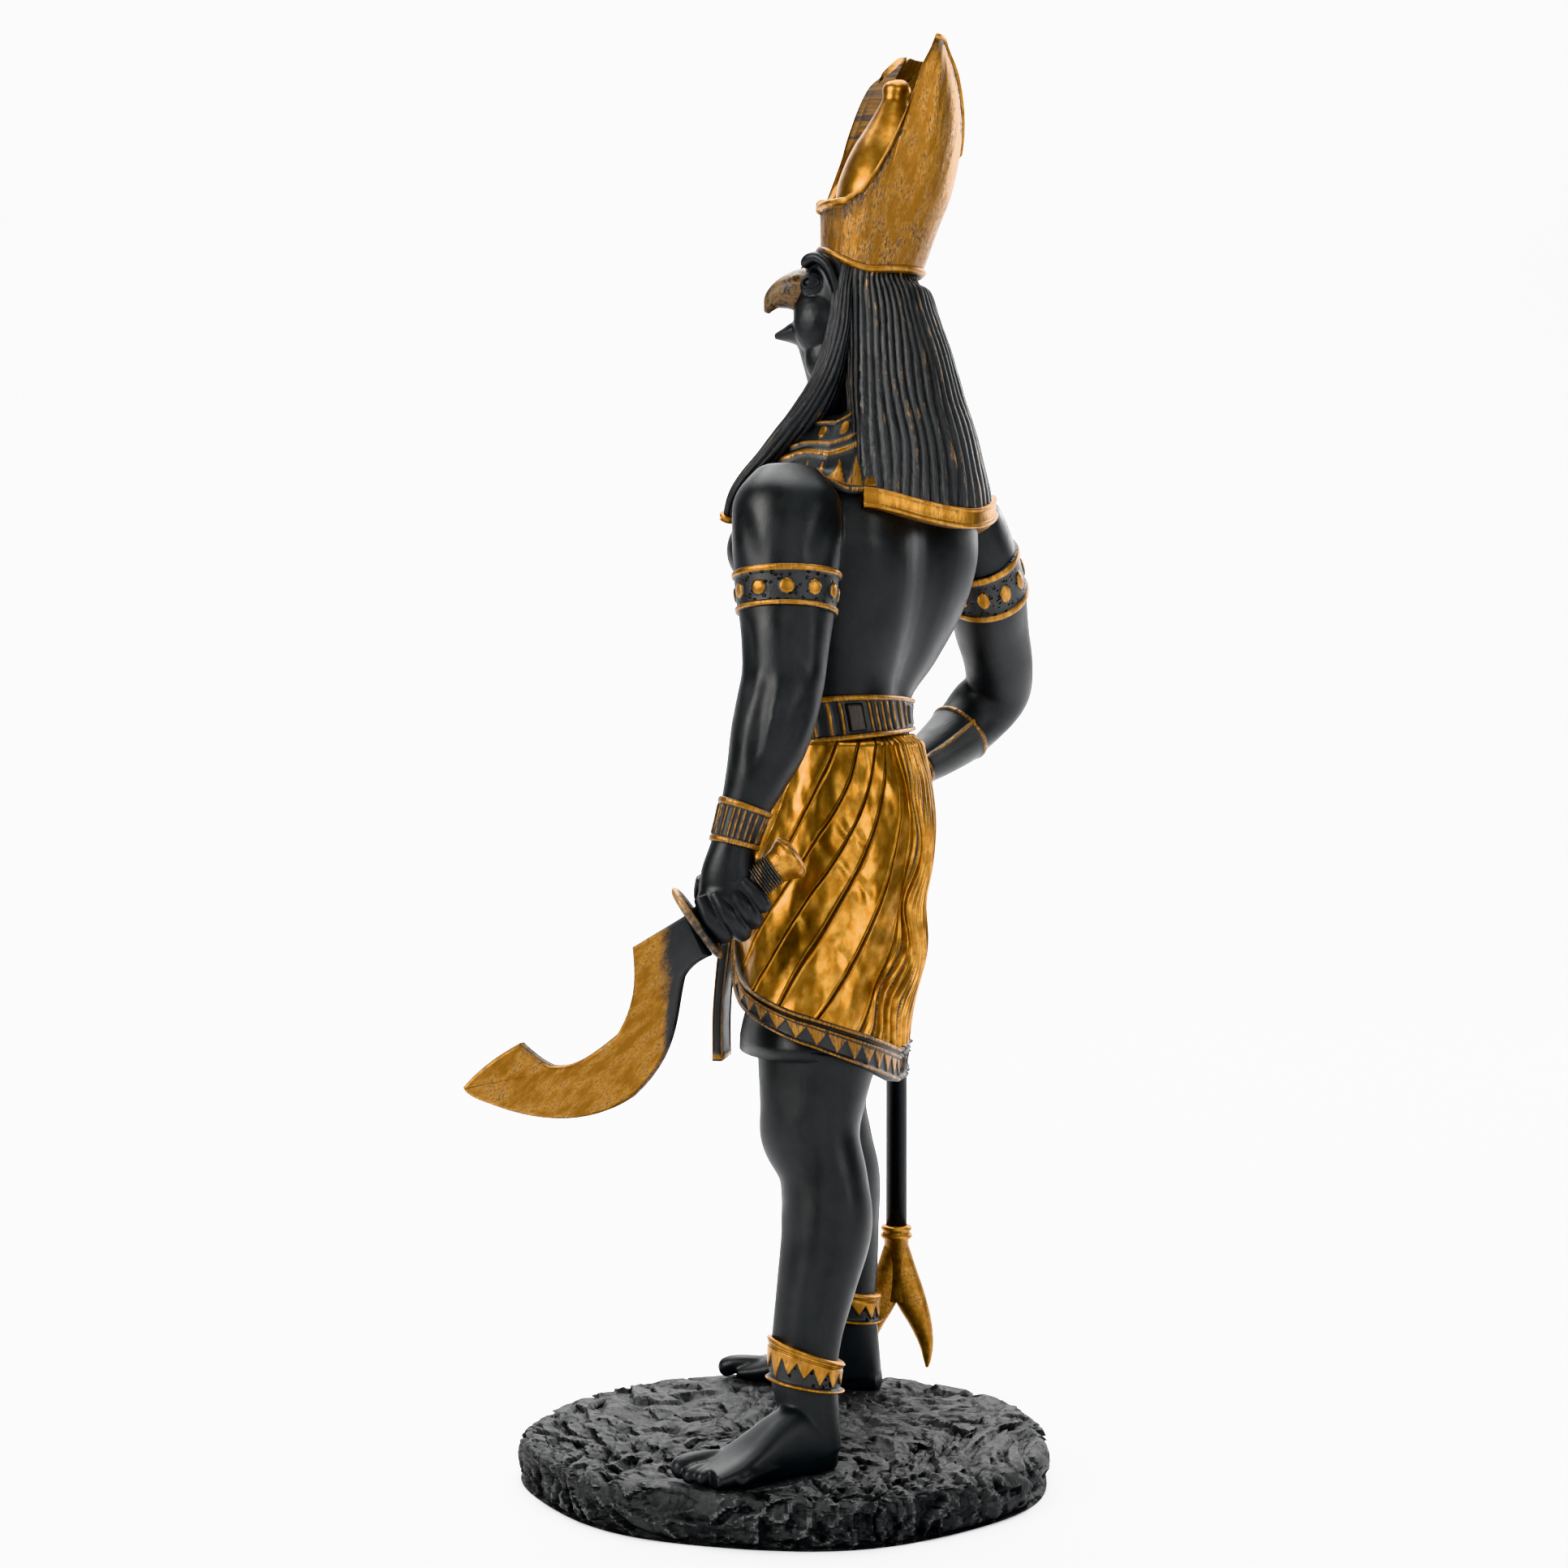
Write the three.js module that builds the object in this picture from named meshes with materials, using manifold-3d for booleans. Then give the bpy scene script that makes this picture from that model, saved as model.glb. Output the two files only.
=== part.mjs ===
// Falcon-headed figure on a rock base, with a sickle sword and a forked sceptre.
// Millimetres, +Z up. The figure faces -Y and its left side is +X.
// The origin is the middle of the base's underside.

import * as THREE from 'three';
import { mergeVertices } from 'three/addons/utils/BufferGeometryUtils.js';
import Module from 'manifold-3d';

const wasm = await Module();
wasm.setup();

// Driving sizes of the plinth

const baseLength = 115;
const baseWidth = 108;
const baseThickness = 10;
const baseRoughness = 0.9;

// Driving sizes of the figure, drawn on a grid of so many squares from the soles to the tips of the crown

const figureHeight = 294;
const gridCount = 294;
const square = figureHeight / gridCount;

// Where the figure stands on its base, from the middle

const stanceShift = -2;

// Clearance between pieces that touch

const clearance = 0.3;

// Driving sizes of the sickle sword

const gripDiameter = 6;
const bladeThickness = 3;
const guardThickness = 2;
const guardLength = 17;
const guardWidth = 12;
const swordLength = 83;

// Driving sizes of the forked sceptre

const staffDiameter = 4.8;
const staffRise = 206;
const forkSpread = 17;
const forkHeight = 30;
const forkGroundGap = 2.6;

// Number of sides of the round forms

const bodySides = 18;
const limbSides = 10;
const smallSides = 8;

// Points and directions

const point = (x, y, z) => new THREE.Vector3(x, y, z);
const turn = (degrees) => THREE.MathUtils.degToRad(degrees);

// A closed solid from shared points and triangles, turned right side out
function solidFrom(points, triangles, unit) {
  let volume = 0;
  for (let i = 0; i < triangles.length; i += 3) {
    const [a, b, c] = [points[triangles[i]], points[triangles[i + 1]], points[triangles[i + 2]]];
    volume += a.dot(b.clone().cross(c));
  }
  const vertices = new Float32Array(points.flatMap((p) => [p.x * unit, p.y * unit, p.z * unit]));
  const faces = new Uint32Array(triangles);
  if (volume < 0) faces.reverse();
  return new wasm.Manifold(new wasm.Mesh({ numProp: 3, vertProperties: vertices, triVerts: faces }));
}

// A solid from a three.js geometry, without the flat triangles at its poles
function solidFromGeometry(geometry, unit) {
  geometry.deleteAttribute('normal');
  geometry.deleteAttribute('uv');
  const merged = mergeVertices(geometry, 1e-4);
  const position = merged.getAttribute('position');
  const points = [];
  for (let i = 0; i < position.count; i += 1) {
    points.push(new THREE.Vector3().fromBufferAttribute(position, i));
  }
  const index = merged.getIndex().array;
  const triangles = [];
  for (let i = 0; i < index.length; i += 3) {
    const [a, b, c] = [index[i], index[i + 1], index[i + 2]];
    if (a !== b && b !== c && c !== a) triangles.push(a, b, c);
  }
  return solidFrom(points, triangles, unit);
}

// A skin over rings with the same number of points, closed by a fan at each end
function skinOver(rings, unit) {
  const count = rings[0].length;
  const points = rings.flat();
  const triangles = [];
  for (let row = 0; row + 1 < rings.length; row += 1) {
    for (let i = 0; i < count; i += 1) {
      const a = row * count + i;
      const b = row * count + ((i + 1) % count);
      triangles.push(a, b, b + count, a, b + count, a + count);
    }
  }
  for (const [row, outward] of [[0, false], [rings.length - 1, true]]) {
    const centre = new THREE.Vector3();
    rings[row].forEach((p) => centre.add(p));
    points.push(centre.divideScalar(count));
    for (let i = 0; i < count; i += 1) {
      const a = row * count + i;
      const b = row * count + ((i + 1) % count);
      triangles.push(...(outward ? [a, b, points.length - 1] : [b, a, points.length - 1]));
    }
  }
  return solidFrom(points, triangles, unit);
}

const joined = (solids) => solids.reduce((whole, part) => whole.add(part));

function rounded(value, power) {
  return Math.sign(value) * Math.abs(value) ** (2 / power);
}

// Smooth values between the rows of a table, at a place counted in rows
function between(rows, place) {
  const last = rows.length - 1;
  const i = Math.min(Math.floor(place), last - 1);
  const t = place - i;
  const [a, b, c, d] = [Math.max(i - 1, 0), i, i + 1, Math.min(i + 2, last)].map((k) => rows[k]);
  return b.map((value, k) => {
    const slopeIn = (c[k] - a[k]) / 2;
    const slopeOut = (d[k] - value) / 2;
    const rise = c[k] - value;
    return value + slopeIn * t + (3 * rise - 2 * slopeIn - slopeOut) * t * t
      + (slopeIn + slopeOut - 2 * rise) * t * t * t;
  });
}

// A limb is a table of rows: x, y, z, half width, front depth, back depth, turn about the upright
// Its sections stand square to its line, with the width along the guide direction
function sectionOf(rows, place, { guide, count, power = 2, grow = 0, carve = () => 0 }) {
  const [x, y, z, width, front, back, yaw] = between(rows, place);
  const last = rows.length - 1;
  const ahead = between(rows, Math.min(place + 0.05, last));
  const behind = between(rows, Math.max(place - 0.05, 0));
  const line = point(ahead[0] - behind[0], ahead[1] - behind[1], ahead[2] - behind[2]).normalize();
  const across = (guide ?? point(1, 0, 0)).clone().applyAxisAngle(point(0, 0, 1), -turn(yaw));
  across.addScaledVector(line, -across.dot(line)).normalize();
  const along = line.clone().cross(across);
  const ring = [];
  for (let i = 0; i < count; i += 1) {
    const angle = (i / count) * 2 * Math.PI;
    const [c, s] = [Math.cos(angle), Math.sin(angle)];
    const more = grow + carve(angle, place, z);
    const sideways = rounded(c, power) * (width + more);
    const depth = rounded(s, power) * ((s > 0 ? back : front) + more);
    ring.push(point(x, y, z).addScaledVector(across, sideways).addScaledVector(along, depth));
  }
  return ring;
}

// Across a band, as a share of its width and a height over the limb: a sunk ground between two rims
const bandProfile = [[0, 0.1], [0.06, 1.3], [0.2, 0.7], [0.8, 0.7], [0.94, 1.3], [1, 0.1]];
const slimBandProfile = [[0, 0], [0.06, 0.7], [0.2, 0.35], [0.8, 0.35], [0.94, 0.7], [1, 0]];

// A limb with plain bands round it, each given by the places where it starts and ends
function limb(rows, style, { from = 0, to = rows.length - 1, steps = to - from, bands = [] } = {}) {
  const stations = [];
  for (let i = 0; i <= steps; i += 1) {
    const place = from + ((to - from) * i) / steps;
    const covered = bands.some((band) => place > band.from - 0.05 && place < band.to + 0.05);
    if (!covered) stations.push({ place });
  }
  for (const { from: start, to: end, profile = bandProfile } of bands) {
    profile.forEach(([share, grow]) => {
      stations.push({ place: start + (end - start) * share, grow, plain: true });
    });
  }
  stations.sort((a, b) => a.place - b.place);
  return skinOver(stations.map(({ place, grow = 0, plain = false }) => sectionOf(rows, place,
    { ...style, grow: grow + (style.grow ?? 0), ...(plain ? { carve: () => 0 } : {}) })), square);
}

function ball(x, y, z, rx, ry, rz, { yaw = 0, sides, rows }) {
  const geometry = new THREE.SphereGeometry(1, sides, rows);
  geometry.rotateX(Math.PI / 2);
  geometry.scale(rx, ry, rz);
  geometry.rotateZ(-turn(yaw));
  geometry.translate(x, y, z);
  return solidFromGeometry(geometry, square);
}

// Pose: the trunk turns away above the belt, and the head turns back to look ahead

const chestTurn = 41;
const hipTurn = 8;

// Trunk, neck and skull, from the groin up
const trunk = [
  [0, 11, 118, 19, 14, 17, 6],
  [0, 11.5, 132, 21.5, 14.5, 17.5, hipTurn],
  [0, 12, 144, 19.5, 13.5, 14.3, 12],
  [0, 12, 152, 18.2, 13, 13, 16],
  [-0.6, 12.4, 160, 18.9, 13.8, 13.4, 24],
  [-1.5, 14.2, 170, 23.4, 16, 16, 32],
  [-2.2, 16.2, 181, 27, 18.6, 17.6, 38],
  [-2.3, 17.2, 190, 28, 19, 17.6, chestTurn],
  [-1.6, 18, 198, 26, 16.5, 15.8, chestTurn],
  [-1, 18.6, 204.5, 19, 12.5, 13.4, 39],
  [-0.4, 18.2, 210.5, 12.5, 10.8, 11.4, 32],
  [0, 16.4, 217, 9.6, 10.6, 9.6, 20],
  [0, 15, 225, 9.2, 11, 9.4, 10],
  [0, 14.2, 233, 9.6, 12.4, 10.6, 5],
  [0, 14, 240, 9.6, 12.8, 12, 5],
  [0, 14.6, 246.5, 9.2, 10.6, 12, 5],
  [0, 16, 251, 8, 7.6, 10, 5],
];

// Spine furrow, furrow between the chest muscles, and the shoulder blades
function trunkCarving(angle, place) {
  const aboveBelt = THREE.MathUtils.smoothstep(place, 2.5, 4);
  const aboveWaist = THREE.MathUtils.smoothstep(place, 5, 7);
  const belowNeck = 1 - THREE.MathUtils.smoothstep(place, 8, 10);
  const fromBack = Math.abs(angle - Math.PI / 2);
  const fromFront = Math.abs(angle - 1.5 * Math.PI);
  const spine = -1.6 * Math.exp(-((fromBack / 0.17) ** 2));
  const breastbone = -1.3 * Math.exp(-((fromFront / 0.15) ** 2));
  const blades = 1.1 * Math.exp(-(((fromBack - 0.55) / 0.25) ** 2));
  return belowNeck * (aboveBelt * (spine + breastbone) + aboveWaist * blades);
}

const trunkStyle = { count: bodySides, power: 2.35, carve: trunkCarving };

// Legs, from the ankle up, with the knee cap and the calf in the depths

const leftLeg = [
  [31.6, 5, 3, 5.4, 6, 6, 24],
  [31.2, 4, 12, 5.6, 6.4, 6.4, 20],
  [30.8, 3.4, 19, 5.9, 6.8, 6.6, 16],
  [30, 4.2, 27.5, 6.2, 7, 7, 12],
  [28.8, 6, 37, 7.4, 7.9, 8, 10],
  [27.2, 7.8, 48, 8.6, 8.8, 9.4, 10],
  [25.8, 7.4, 57, 8.5, 9.2, 9, 10],
  [24.6, 5.6, 66, 8.6, 10.4, 9.2, 10],
  [23, 5.4, 75, 9.8, 11.4, 11, 10],
  [21, 6.4, 86, 11.6, 12.8, 12.8, 10],
  [18, 8, 102, 12.6, 13.6, 14.4, 8],
];

const rightLeg = [
  [-33.6, 15.4, 3, 5.4, 6, 6, -14],
  [-33.2, 14.2, 12, 5.6, 6.4, 6.4, -10],
  [-32.8, 13.4, 19, 5.9, 6.8, 6.6, -8],
  [-32, 13.4, 27.5, 6.2, 7, 7, -6],
  [-30.6, 12.6, 37, 7.4, 7.9, 8, -4],
  [-28.8, 11.6, 48, 8.6, 8.8, 9.2, -2],
  [-27, 10, 57, 8.5, 9.2, 9, 0],
  [-25.4, 8.4, 66, 8.6, 10.4, 9.2, 0],
  [-23.6, 8.6, 75, 9.8, 11.2, 11, 2],
  [-21.4, 10, 86, 11.6, 12.6, 12.8, 4],
  [-18, 11.4, 102, 12.6, 13.6, 14.4, 6],
];

const legStyle = { count: limbSides };
const anklet = { from: 1.62, to: 2.58 };

// Feet: an instep that falls to the ball, five toes fanned from it, and a round heel
function foot(heel, toes, side) {
  const forward = point(toes[0] - heel[0], toes[1] - heel[1], 0);
  const length = forward.length();
  forward.normalize();
  const inward = point(-forward.y, forward.x, 0).multiplyScalar(side);
  const profile = [[-0.14, 2.6, 4.6], [-0.04, 4.8, 10], [0.2, 5.2, 13], [0.46, 6, 9], [0.66, 6.9, 5.6],
    [0.86, 7, 3.8]];
  const count = 8;
  const rings = profile.map(([share, half, high]) => {
    const ring = [];
    for (let i = 0; i < count; i += 1) {
      const angle = ((i + 0.5) / count) * 2 * Math.PI;
      const lift = high * (0.42 + 0.58 * rounded(Math.sin(angle), 2.2));
      ring.push(point(heel[0], heel[1], lift).addScaledVector(forward, share * length)
        .addScaledVector(inward, half * rounded(Math.cos(angle), 2.6)));
    }
    return ring;
  });
  const parts = [skinOver(rings, square)];
  const yaw = THREE.MathUtils.radToDeg(Math.atan2(-forward.x, -forward.y));
  const bigToe = { across: 4.7, half: 2.4, high: 2.1, long: 4.6 };
  const smallToe = { across: 1, half: 1.6, high: 1.6, long: 4.6 };
  const toePitch = 2.5;
  for (let i = 0; i < 5; i += 1) {
    const toe = i === 0 ? bigToe : smallToe;
    const across = i === 0 ? toe.across : toe.across - (i - 1) * toePitch;
    const reach = length - 0.55 * i * i - toe.long + 0.6;
    const { x, y } = point(heel[0], heel[1], 0).addScaledVector(forward, reach).addScaledVector(inward, across);
    const style = { yaw, sides: 6, rows: 3 };
    parts.push(ball(x, y, toe.high * 0.8, toe.half, toe.long, toe.high, style));
  }
  return joined(parts);
}

// Arms, from the shoulder down

const leftArm = [
  [24.4, 0, 203, 5, 6, 6, 0],
  [25.6, -0.2, 197, 9, 10.8, 10.6, 0],
  [27.4, -0.3, 190, 9.6, 11.6, 11.2, 0],
  [29, -0.3, 182, 8.9, 10.7, 10.7, 0],
  [30.4, -0.3, 174, 8.2, 9.8, 9.9, 0],
  [32, -0.5, 167, 7.8, 8.9, 9, 0],
  [33.2, -0.9, 160.5, 7.7, 8.4, 8.6, 0],
  [34.8, -2.4, 154, 8, 8.5, 8.3, 0],
  [36, -4.2, 147, 7.6, 8, 7.8, 0],
  [37, -6.6, 140, 6.4, 6.4, 6.2, 0],
  [37.8, -8.9, 133.5, 5.1, 4.95, 4.95, 0],
  [38.5, -10.8, 127, 4.6, 4.6, 4.6, 0],
  [39.1, -11.9, 121, 4.6, 5.6, 5.6, 0],
  [39.3, -11.7, 115.6, 4.4, 6.2, 6.2, 0],
];

const rightArm = [
  [-23.6, 38, 202, 5, 5, 5, 0],
  [-25.6, 38.8, 197, 8.4, 8, 8, 0],
  [-30, 41.7, 190, 9.2, 8.6, 8.6, 0],
  [-37, 44.8, 181, 9.2, 8.9, 8.9, 0],
  [-44.4, 46.6, 173, 8.8, 8.5, 8.5, 0],
  [-51.4, 48.9, 165.5, 8.4, 8.2, 8.2, 0],
  [-57, 49.2, 158.6, 8, 8, 8, 0],
  [-57.6, 44.8, 153, 8.2, 8.2, 8.2, 0],
  [-54, 40, 148.2, 7.4, 6.8, 6.8, 0],
  [-49.4, 34.6, 144.1, 6.2, 5.5, 5.5, 0],
  [-45.8, 29.8, 141, 5.2, 4.7, 4.7, 0],
  [-42.8, 26, 138.6, 5, 4.7, 4.7, 0],
];

const leftArmBands = [{ from: 3.05, to: 4.15 }, { from: 9.78, to: 11.08, profile: slimBandProfile }];
const rightArmBands = [{ from: 2.2, to: 3.2 }, { from: 7.9, to: 10.2 }];
const leftArmStyle = { count: limbSides, guide: point(1, 0, 0) };
const rightArmStyle = { count: limbSides, guide: point(-0.567, -0.728, 0.387) };

// A closed fist round a grip: palm, four finger rolls side by side along the grip, and a thumb across them
const fistSize = 13.2;
const fingerReach = [0.56, 0.64, 0.6, 0.48];

function fist(centre, gripAxis, outward) {
  const axis = gripAxis.clone().normalize();
  const out = outward.clone().addScaledVector(axis, -outward.dot(axis)).normalize();
  const knuckles = axis.clone().cross(out);
  const basis = new THREE.Matrix4().makeBasis(axis, out, knuckles);
  const lump = (place, size, sides, rows) => {
    const geometry = new THREE.SphereGeometry(fistSize, sides, rows);
    geometry.rotateZ(Math.PI / 2);
    geometry.scale(...size);
    geometry.translate(...place.map((value) => value * fistSize));
    geometry.applyMatrix4(basis);
    geometry.translate(centre.x, centre.y, centre.z);
    return solidFromGeometry(geometry, square);
  };
  const parts = [lump([0, -0.04, -0.02], [0.47, 0.36, 0.5], 8, 6)];
  for (let i = 0; i < 4; i += 1) {
    parts.push(lump([(i - 1.5) * 0.24, 0.2, fingerReach[i] - 0.44], [0.15, 0.28, 0.44], 6, 3));
  }
  parts.push(lump([-0.3, 0.14, -0.36], [0.34, 0.22, 0.18], 6, 4));
  return joined(parts);
}

// Kilt: pleats that slant down from the belt, over an under-kilt, with a narrow apron at the front

const kilt = [
  [0, 7.2, 72, 34.5, 18, 16.8, 6],
  [0, 7.2, 84, 33.5, 18, 17.4, 6],
  [0, 7.8, 98, 31.4, 18.4, 18.8, 7],
  [0, 9.2, 112, 28.6, 18.2, 19.6, 8],
  [0, 10.4, 126, 25.4, 17, 19.2, 8],
  [0, 11.4, 138, 22.4, 15.6, 17.6, 10],
  [0, 12, 148, 19.8, 14.2, 15, 14],
];
const kiltWaist = 147;
const kiltHemBack = 76;
const kiltHemSide = 98.4;
const kiltHemFall = 7.95;
const kiltHemRise = 43;
const kiltHemOpening = 0.9;
const kiltPower = 2.2;
const pleatCount = 14;
const pleatDepth = 0.6;
const pleatLean = 0.012;
const hemBandHeight = 4.6;
const underKiltHem = 82.5;

// The hem falls evenly along the sides to the back and climbs to the belt in front
function kiltHem(angle) {
  const fromFront = Math.abs(THREE.MathUtils.euclideanModulo(angle - Math.PI / 2, 2 * Math.PI) - Math.PI);
  const climb = Math.max(0, 1 - fromFront / kiltHemOpening);
  return Math.max(kiltHemBack, kiltHemSide - kiltHemFall * fromFront) + kiltHemRise * climb ** 2.8;
}

const pleats = (angle) => pleatDepth * Math.cos(angle * pleatCount) * (0.6 + 0.4 * Math.sin(angle));

// How far a pleat has moved to the back at a height, from the angle where it starts at the hem
const leaning = (angle, height) => pleatLean * Math.cos(angle) * (height - kiltHem(angle));

// Where a height lies in a table of rows
function rowAt(rows, height) {
  let k = 0;
  while (k + 2 < rows.length && rows[k + 1][2] < height) k += 1;
  const share = (height - rows[k][2]) / (rows[k + 1][2] - rows[k][2]);
  return THREE.MathUtils.clamp(k + share, 0, rows.length - 1);
}

// A ring of cloth whose height changes on its way round
function clothRing(rows, heightAt, { grow, count, carve = () => 0, lean = () => 0 }) {
  const ring = [];
  for (let i = 0; i < count; i += 1) {
    const start = (i / count) * 2 * Math.PI;
    const height = heightAt(start);
    const angle = start + lean(start, height);
    const [x, y, , width, front, back, yaw] = between(rows, rowAt(rows, height));
    const more = grow + carve(start);
    const across = rounded(Math.cos(angle), kiltPower) * (width + more);
    const depth = rounded(Math.sin(angle), kiltPower) * ((Math.sin(angle) > 0 ? back : front) + more);
    const [c, s] = [Math.cos(turn(yaw)), Math.sin(turn(yaw))];
    ring.push(point(x + across * c + depth * s, y - across * s + depth * c, height));
  }
  return ring;
}

function skirt(rows, hem, waist, { steps, ...style }) {
  const rings = [];
  for (let row = 0; row <= steps; row += 1) {
    const heightAt = (angle) => hem(angle) + ((waist - hem(angle)) * row) / steps;
    rings.push(clothRing(rows, heightAt, style));
  }
  return rings;
}

// The hem band is a sunk ground between two rims along the lower edge
function pleatedKilt() {
  const style = { count: pleatCount * 2, lean: leaning };
  const profile = [[0, 0.4], [0.06, 1.8], [0.22, 1.1], [0.78, 1.1], [0.94, 1.8], [1, 0.6]];
  const band = profile.map(([share, grow]) =>
    clothRing(kilt, (angle) => kiltHem(angle) + hemBandHeight * share, { ...style, grow }));
  const above = (angle) => kiltHem(angle) + hemBandHeight * 1.05;
  const cloth = skirt(kilt, above, kiltWaist, { ...style, steps: 4, grow: 0.6, carve: pleats });
  return skinOver([...band, ...cloth], square);
}

function apron() {
  const rows = [
    [-1.4, -14.2, 79, 5.8, 1, 1, hipTurn],
    [-1.4, -14, 92, 5.8, 1, 1, hipTurn],
    [-1.2, -11.6, 112, 5, 1.2, 1.2, hipTurn],
    [-1, -6.8, 132, 4.4, 1.2, 1.2, hipTurn],
    [-1, -2.4, 148.6, 4, 1.2, 2.6, hipTurn],
  ];
  return limb(rows, { count: 8, power: 5 });
}

// Belt: a sunk ground between two rims, round the trunk
const belt = { from: 2.4, to: 3.45 };

// Wig: strands that fall from the crown over the back, a gold hem band, and two strands to the front

const wig = [
  [0, 16, 191.6, 20, 3, 27.6, 3],
  [0, 16, 200, 19.4, 3, 27.2, 3],
  [0, 16, 208, 18, 3, 25.2, 3],
  [0, 15.6, 217.5, 16, 3.4, 22.6, 3],
  [0, 15.4, 228, 14, 3.6, 19.9, 3],
  [0, 15.4, 238, 12.4, 3.6, 16.5, 3],
  [0, 15.4, 244.6, 11.2, 4, 13.8, 3],
  [0, 17, 251, 9.6, 6, 9.8, 3],
];
const wigHem = { from: 0, to: 0.66 };
const strandCount = 12;
const strandDepth = 0.55;
const wigStyle = { count: strandCount * 2, power: 2.5 };
const strands = (angle) => strandDepth * (Math.cos(angle * strandCount) - 1);

const leftLappet = [
  [3.6, -7.8, 194.6, 8.4, 2, 2, 0],
  [5.8, -6.2, 199.6, 8.8, 2.4, 2.4, 0],
  [7.6, -0.2, 206.8, 8.4, 3, 3, 0],
  [7.8, 5.2, 214.6, 6.8, 3.4, 3.4, 0],
  [8.4, 9, 223, 4.6, 3.4, 3.4, 0],
  [8.8, 11.4, 233, 3.4, 3.2, 3.2, 0],
  [8.4, 12, 246, 3, 3, 3, 0],
];
const rightLappet = [
  [-20.6, 8.6, 193.6, 8, 2, 2, 0],
  [-19, 9.2, 199.6, 8, 2.4, 2.4, 0],
  [-15, 9.6, 206.6, 7.6, 3, 3, 0],
  [-11, 11, 214.6, 6.8, 3.6, 4.2, 0],
  [-9.4, 11.4, 223, 4.6, 3.4, 3.4, 0],
  [-9, 12, 233, 3.4, 3.2, 3.2, 0],
  [-8.6, 12.4, 246, 3, 3, 3, 0],
];
const lappetGuide = point(0.8, -0.6, 0);

// Head of a falcon: round cheeks, a hooked beak held open, heavy brows

function beak() {
  const upper = [
    [0.2, 8, 243.4, 5.6, 5.2, 4.6, 0],
    [0.2, 2, 242.8, 4.5, 4.6, 4.2, 0],
    [0.2, -0.8, 242, 3.5, 3.6, 3.4, 0],
    [0.2, -3, 240.6, 2.2, 2.2, 2.4, 0],
    [0.2, -4.5, 237.9, 0.55, 0.6, 0.6, 0],
  ];
  const lower = [
    [0.2, 6, 233.9, 4.6, 3.2, 3, 0],
    [0.2, 1.8, 233.9, 3.8, 2.8, 2.4, 0],
    [0.2, -0.6, 233.5, 2.4, 1.7, 1.4, 0],
    [0.2, -2.9, 233, 0.7, 0.6, 0.5, 0],
  ];
  return [upper, lower].map((rows) => limb(rows, { count: 8, guide: point(1, 0, 0) }));
}

function falconHead() {
  const parts = beak();
  for (const side of [1, -1]) {
    parts.push(ball(4.4 * side, 7.6, 234.6, 5.2, 6.4, 7, { sides: 8, rows: 6 }));
    parts.push(ball(7.4 * side, 5.2, 242.6, 1.7, 2.4, 1.7, { sides: 6, rows: 5 }));
    const brow = [[5 * side, 2, 245.4, 0.8, 0.8, 0.8, 0], [7.2 * side, 3.8, 247, 1.2, 1.1, 1.1, 0],
      [8.6 * side, 7.4, 246.4, 1.1, 1, 1, 0], [8.9 * side, 11, 244, 0.8, 0.8, 0.8, 0]];
    parts.push(limb(brow, { count: 6, guide: point(0, 0, 1) }));
  }
  return parts;
}

// Collar: a layer over the shoulders, cut off by an upright oval
function collar(shoulders) {
  const oval = [
    [-1.6, 18, 178, 28, 27.4, 26, chestTurn],
    [-1.6, 18, 214, 28, 27.4, 26, chestTurn],
  ];
  return shoulders.intersect(limb(oval, { count: 16 }));
}

// Crown: an open cup of two tall petals that leans back, round a tall bulb

const crown = [
  [0, 17.6, 244.6, 10.8, 11, 10.5, 0],
  [0, 18.4, 250, 11.2, 11.6, 11.5, 0],
  [0, 19.6, 256, 12, 12.8, 12.5, 0],
  [0, 20.8, 262, 13, 13.8, 13.6, 0],
  [0, 22.6, 270, 14, 13, 13.7, 0],
  [0, 24.6, 278, 14.6, 12.6, 12.5, 0],
  [0, 27.4, 287, 14.6, 11.4, 8.9, 0],
  [0, 30.6, 294, 13.8, 7, 2.8, 0],
];
const crownWall = 1.7;
const crownFloor = 1.9;
const crownStyle = { count: 16, power: 2.1 };

// A prism cut through half the crown, from an outline of Y and Z
function crownCut(outline, from, to) {
  const shape = new THREE.Shape(outline.map(([y, z]) => new THREE.Vector2(y, z)));
  const geometry = new THREE.ExtrudeGeometry(shape, { depth: to - from, bevelEnabled: false });
  geometry.applyMatrix4(new THREE.Matrix4().makeBasis(point(0, 1, 0), point(0, 0, 1), point(1, 0, 0)));
  geometry.translate(from, 0, 0);
  return solidFromGeometry(geometry, square);
}

function crownCup() {
  const foot = { from: 0, to: 0.5, profile: [[0, 0.2], [0.1, 0.8], [0.9, 0.8], [1, 0]] };
  const outer = limb(crown, crownStyle, { steps: 7, bands: [foot] });
  const inner = limb(crown, { ...crownStyle, grow: -crownWall }, { from: crownFloor, steps: 4 });
  const nearEdge = [[12, 260.6], [15.4, 262.6], [18.6, 266.6], [22, 272.8], [25.1, 279.6], [27, 286],
    [28.6, 291], [31, 297]];
  const farEdge = [[8.4, 262], [9.4, 267], [10.6, 273.7], [12.2, 279], [13.8, 283], [16.6, 287.4],
    [21.2, 292], [25.2, 294], [30.6, 296]];
  const rim = [[0, 261], [10, 260.6]];
  const front = (edge) => [...rim, ...edge, [28, 310], [0, 310]];
  const notchCorners = [[0, 272], [11.6, 298], [-11.6, 298]].map(([x, z]) => new THREE.Vector2(x, z));
  const notchSolid = new THREE.ExtrudeGeometry(new THREE.Shape(notchCorners), { depth: 40, bevelEnabled: false });
  notchSolid.rotateX(Math.PI / 2);
  notchSolid.translate(0, 66, 0);
  return outer.subtract(inner).subtract(crownCut(front(nearEdge), 0, 30))
    .subtract(crownCut(front(farEdge), -30, 0)).subtract(solidFromGeometry(notchSolid, square));
}

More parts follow.
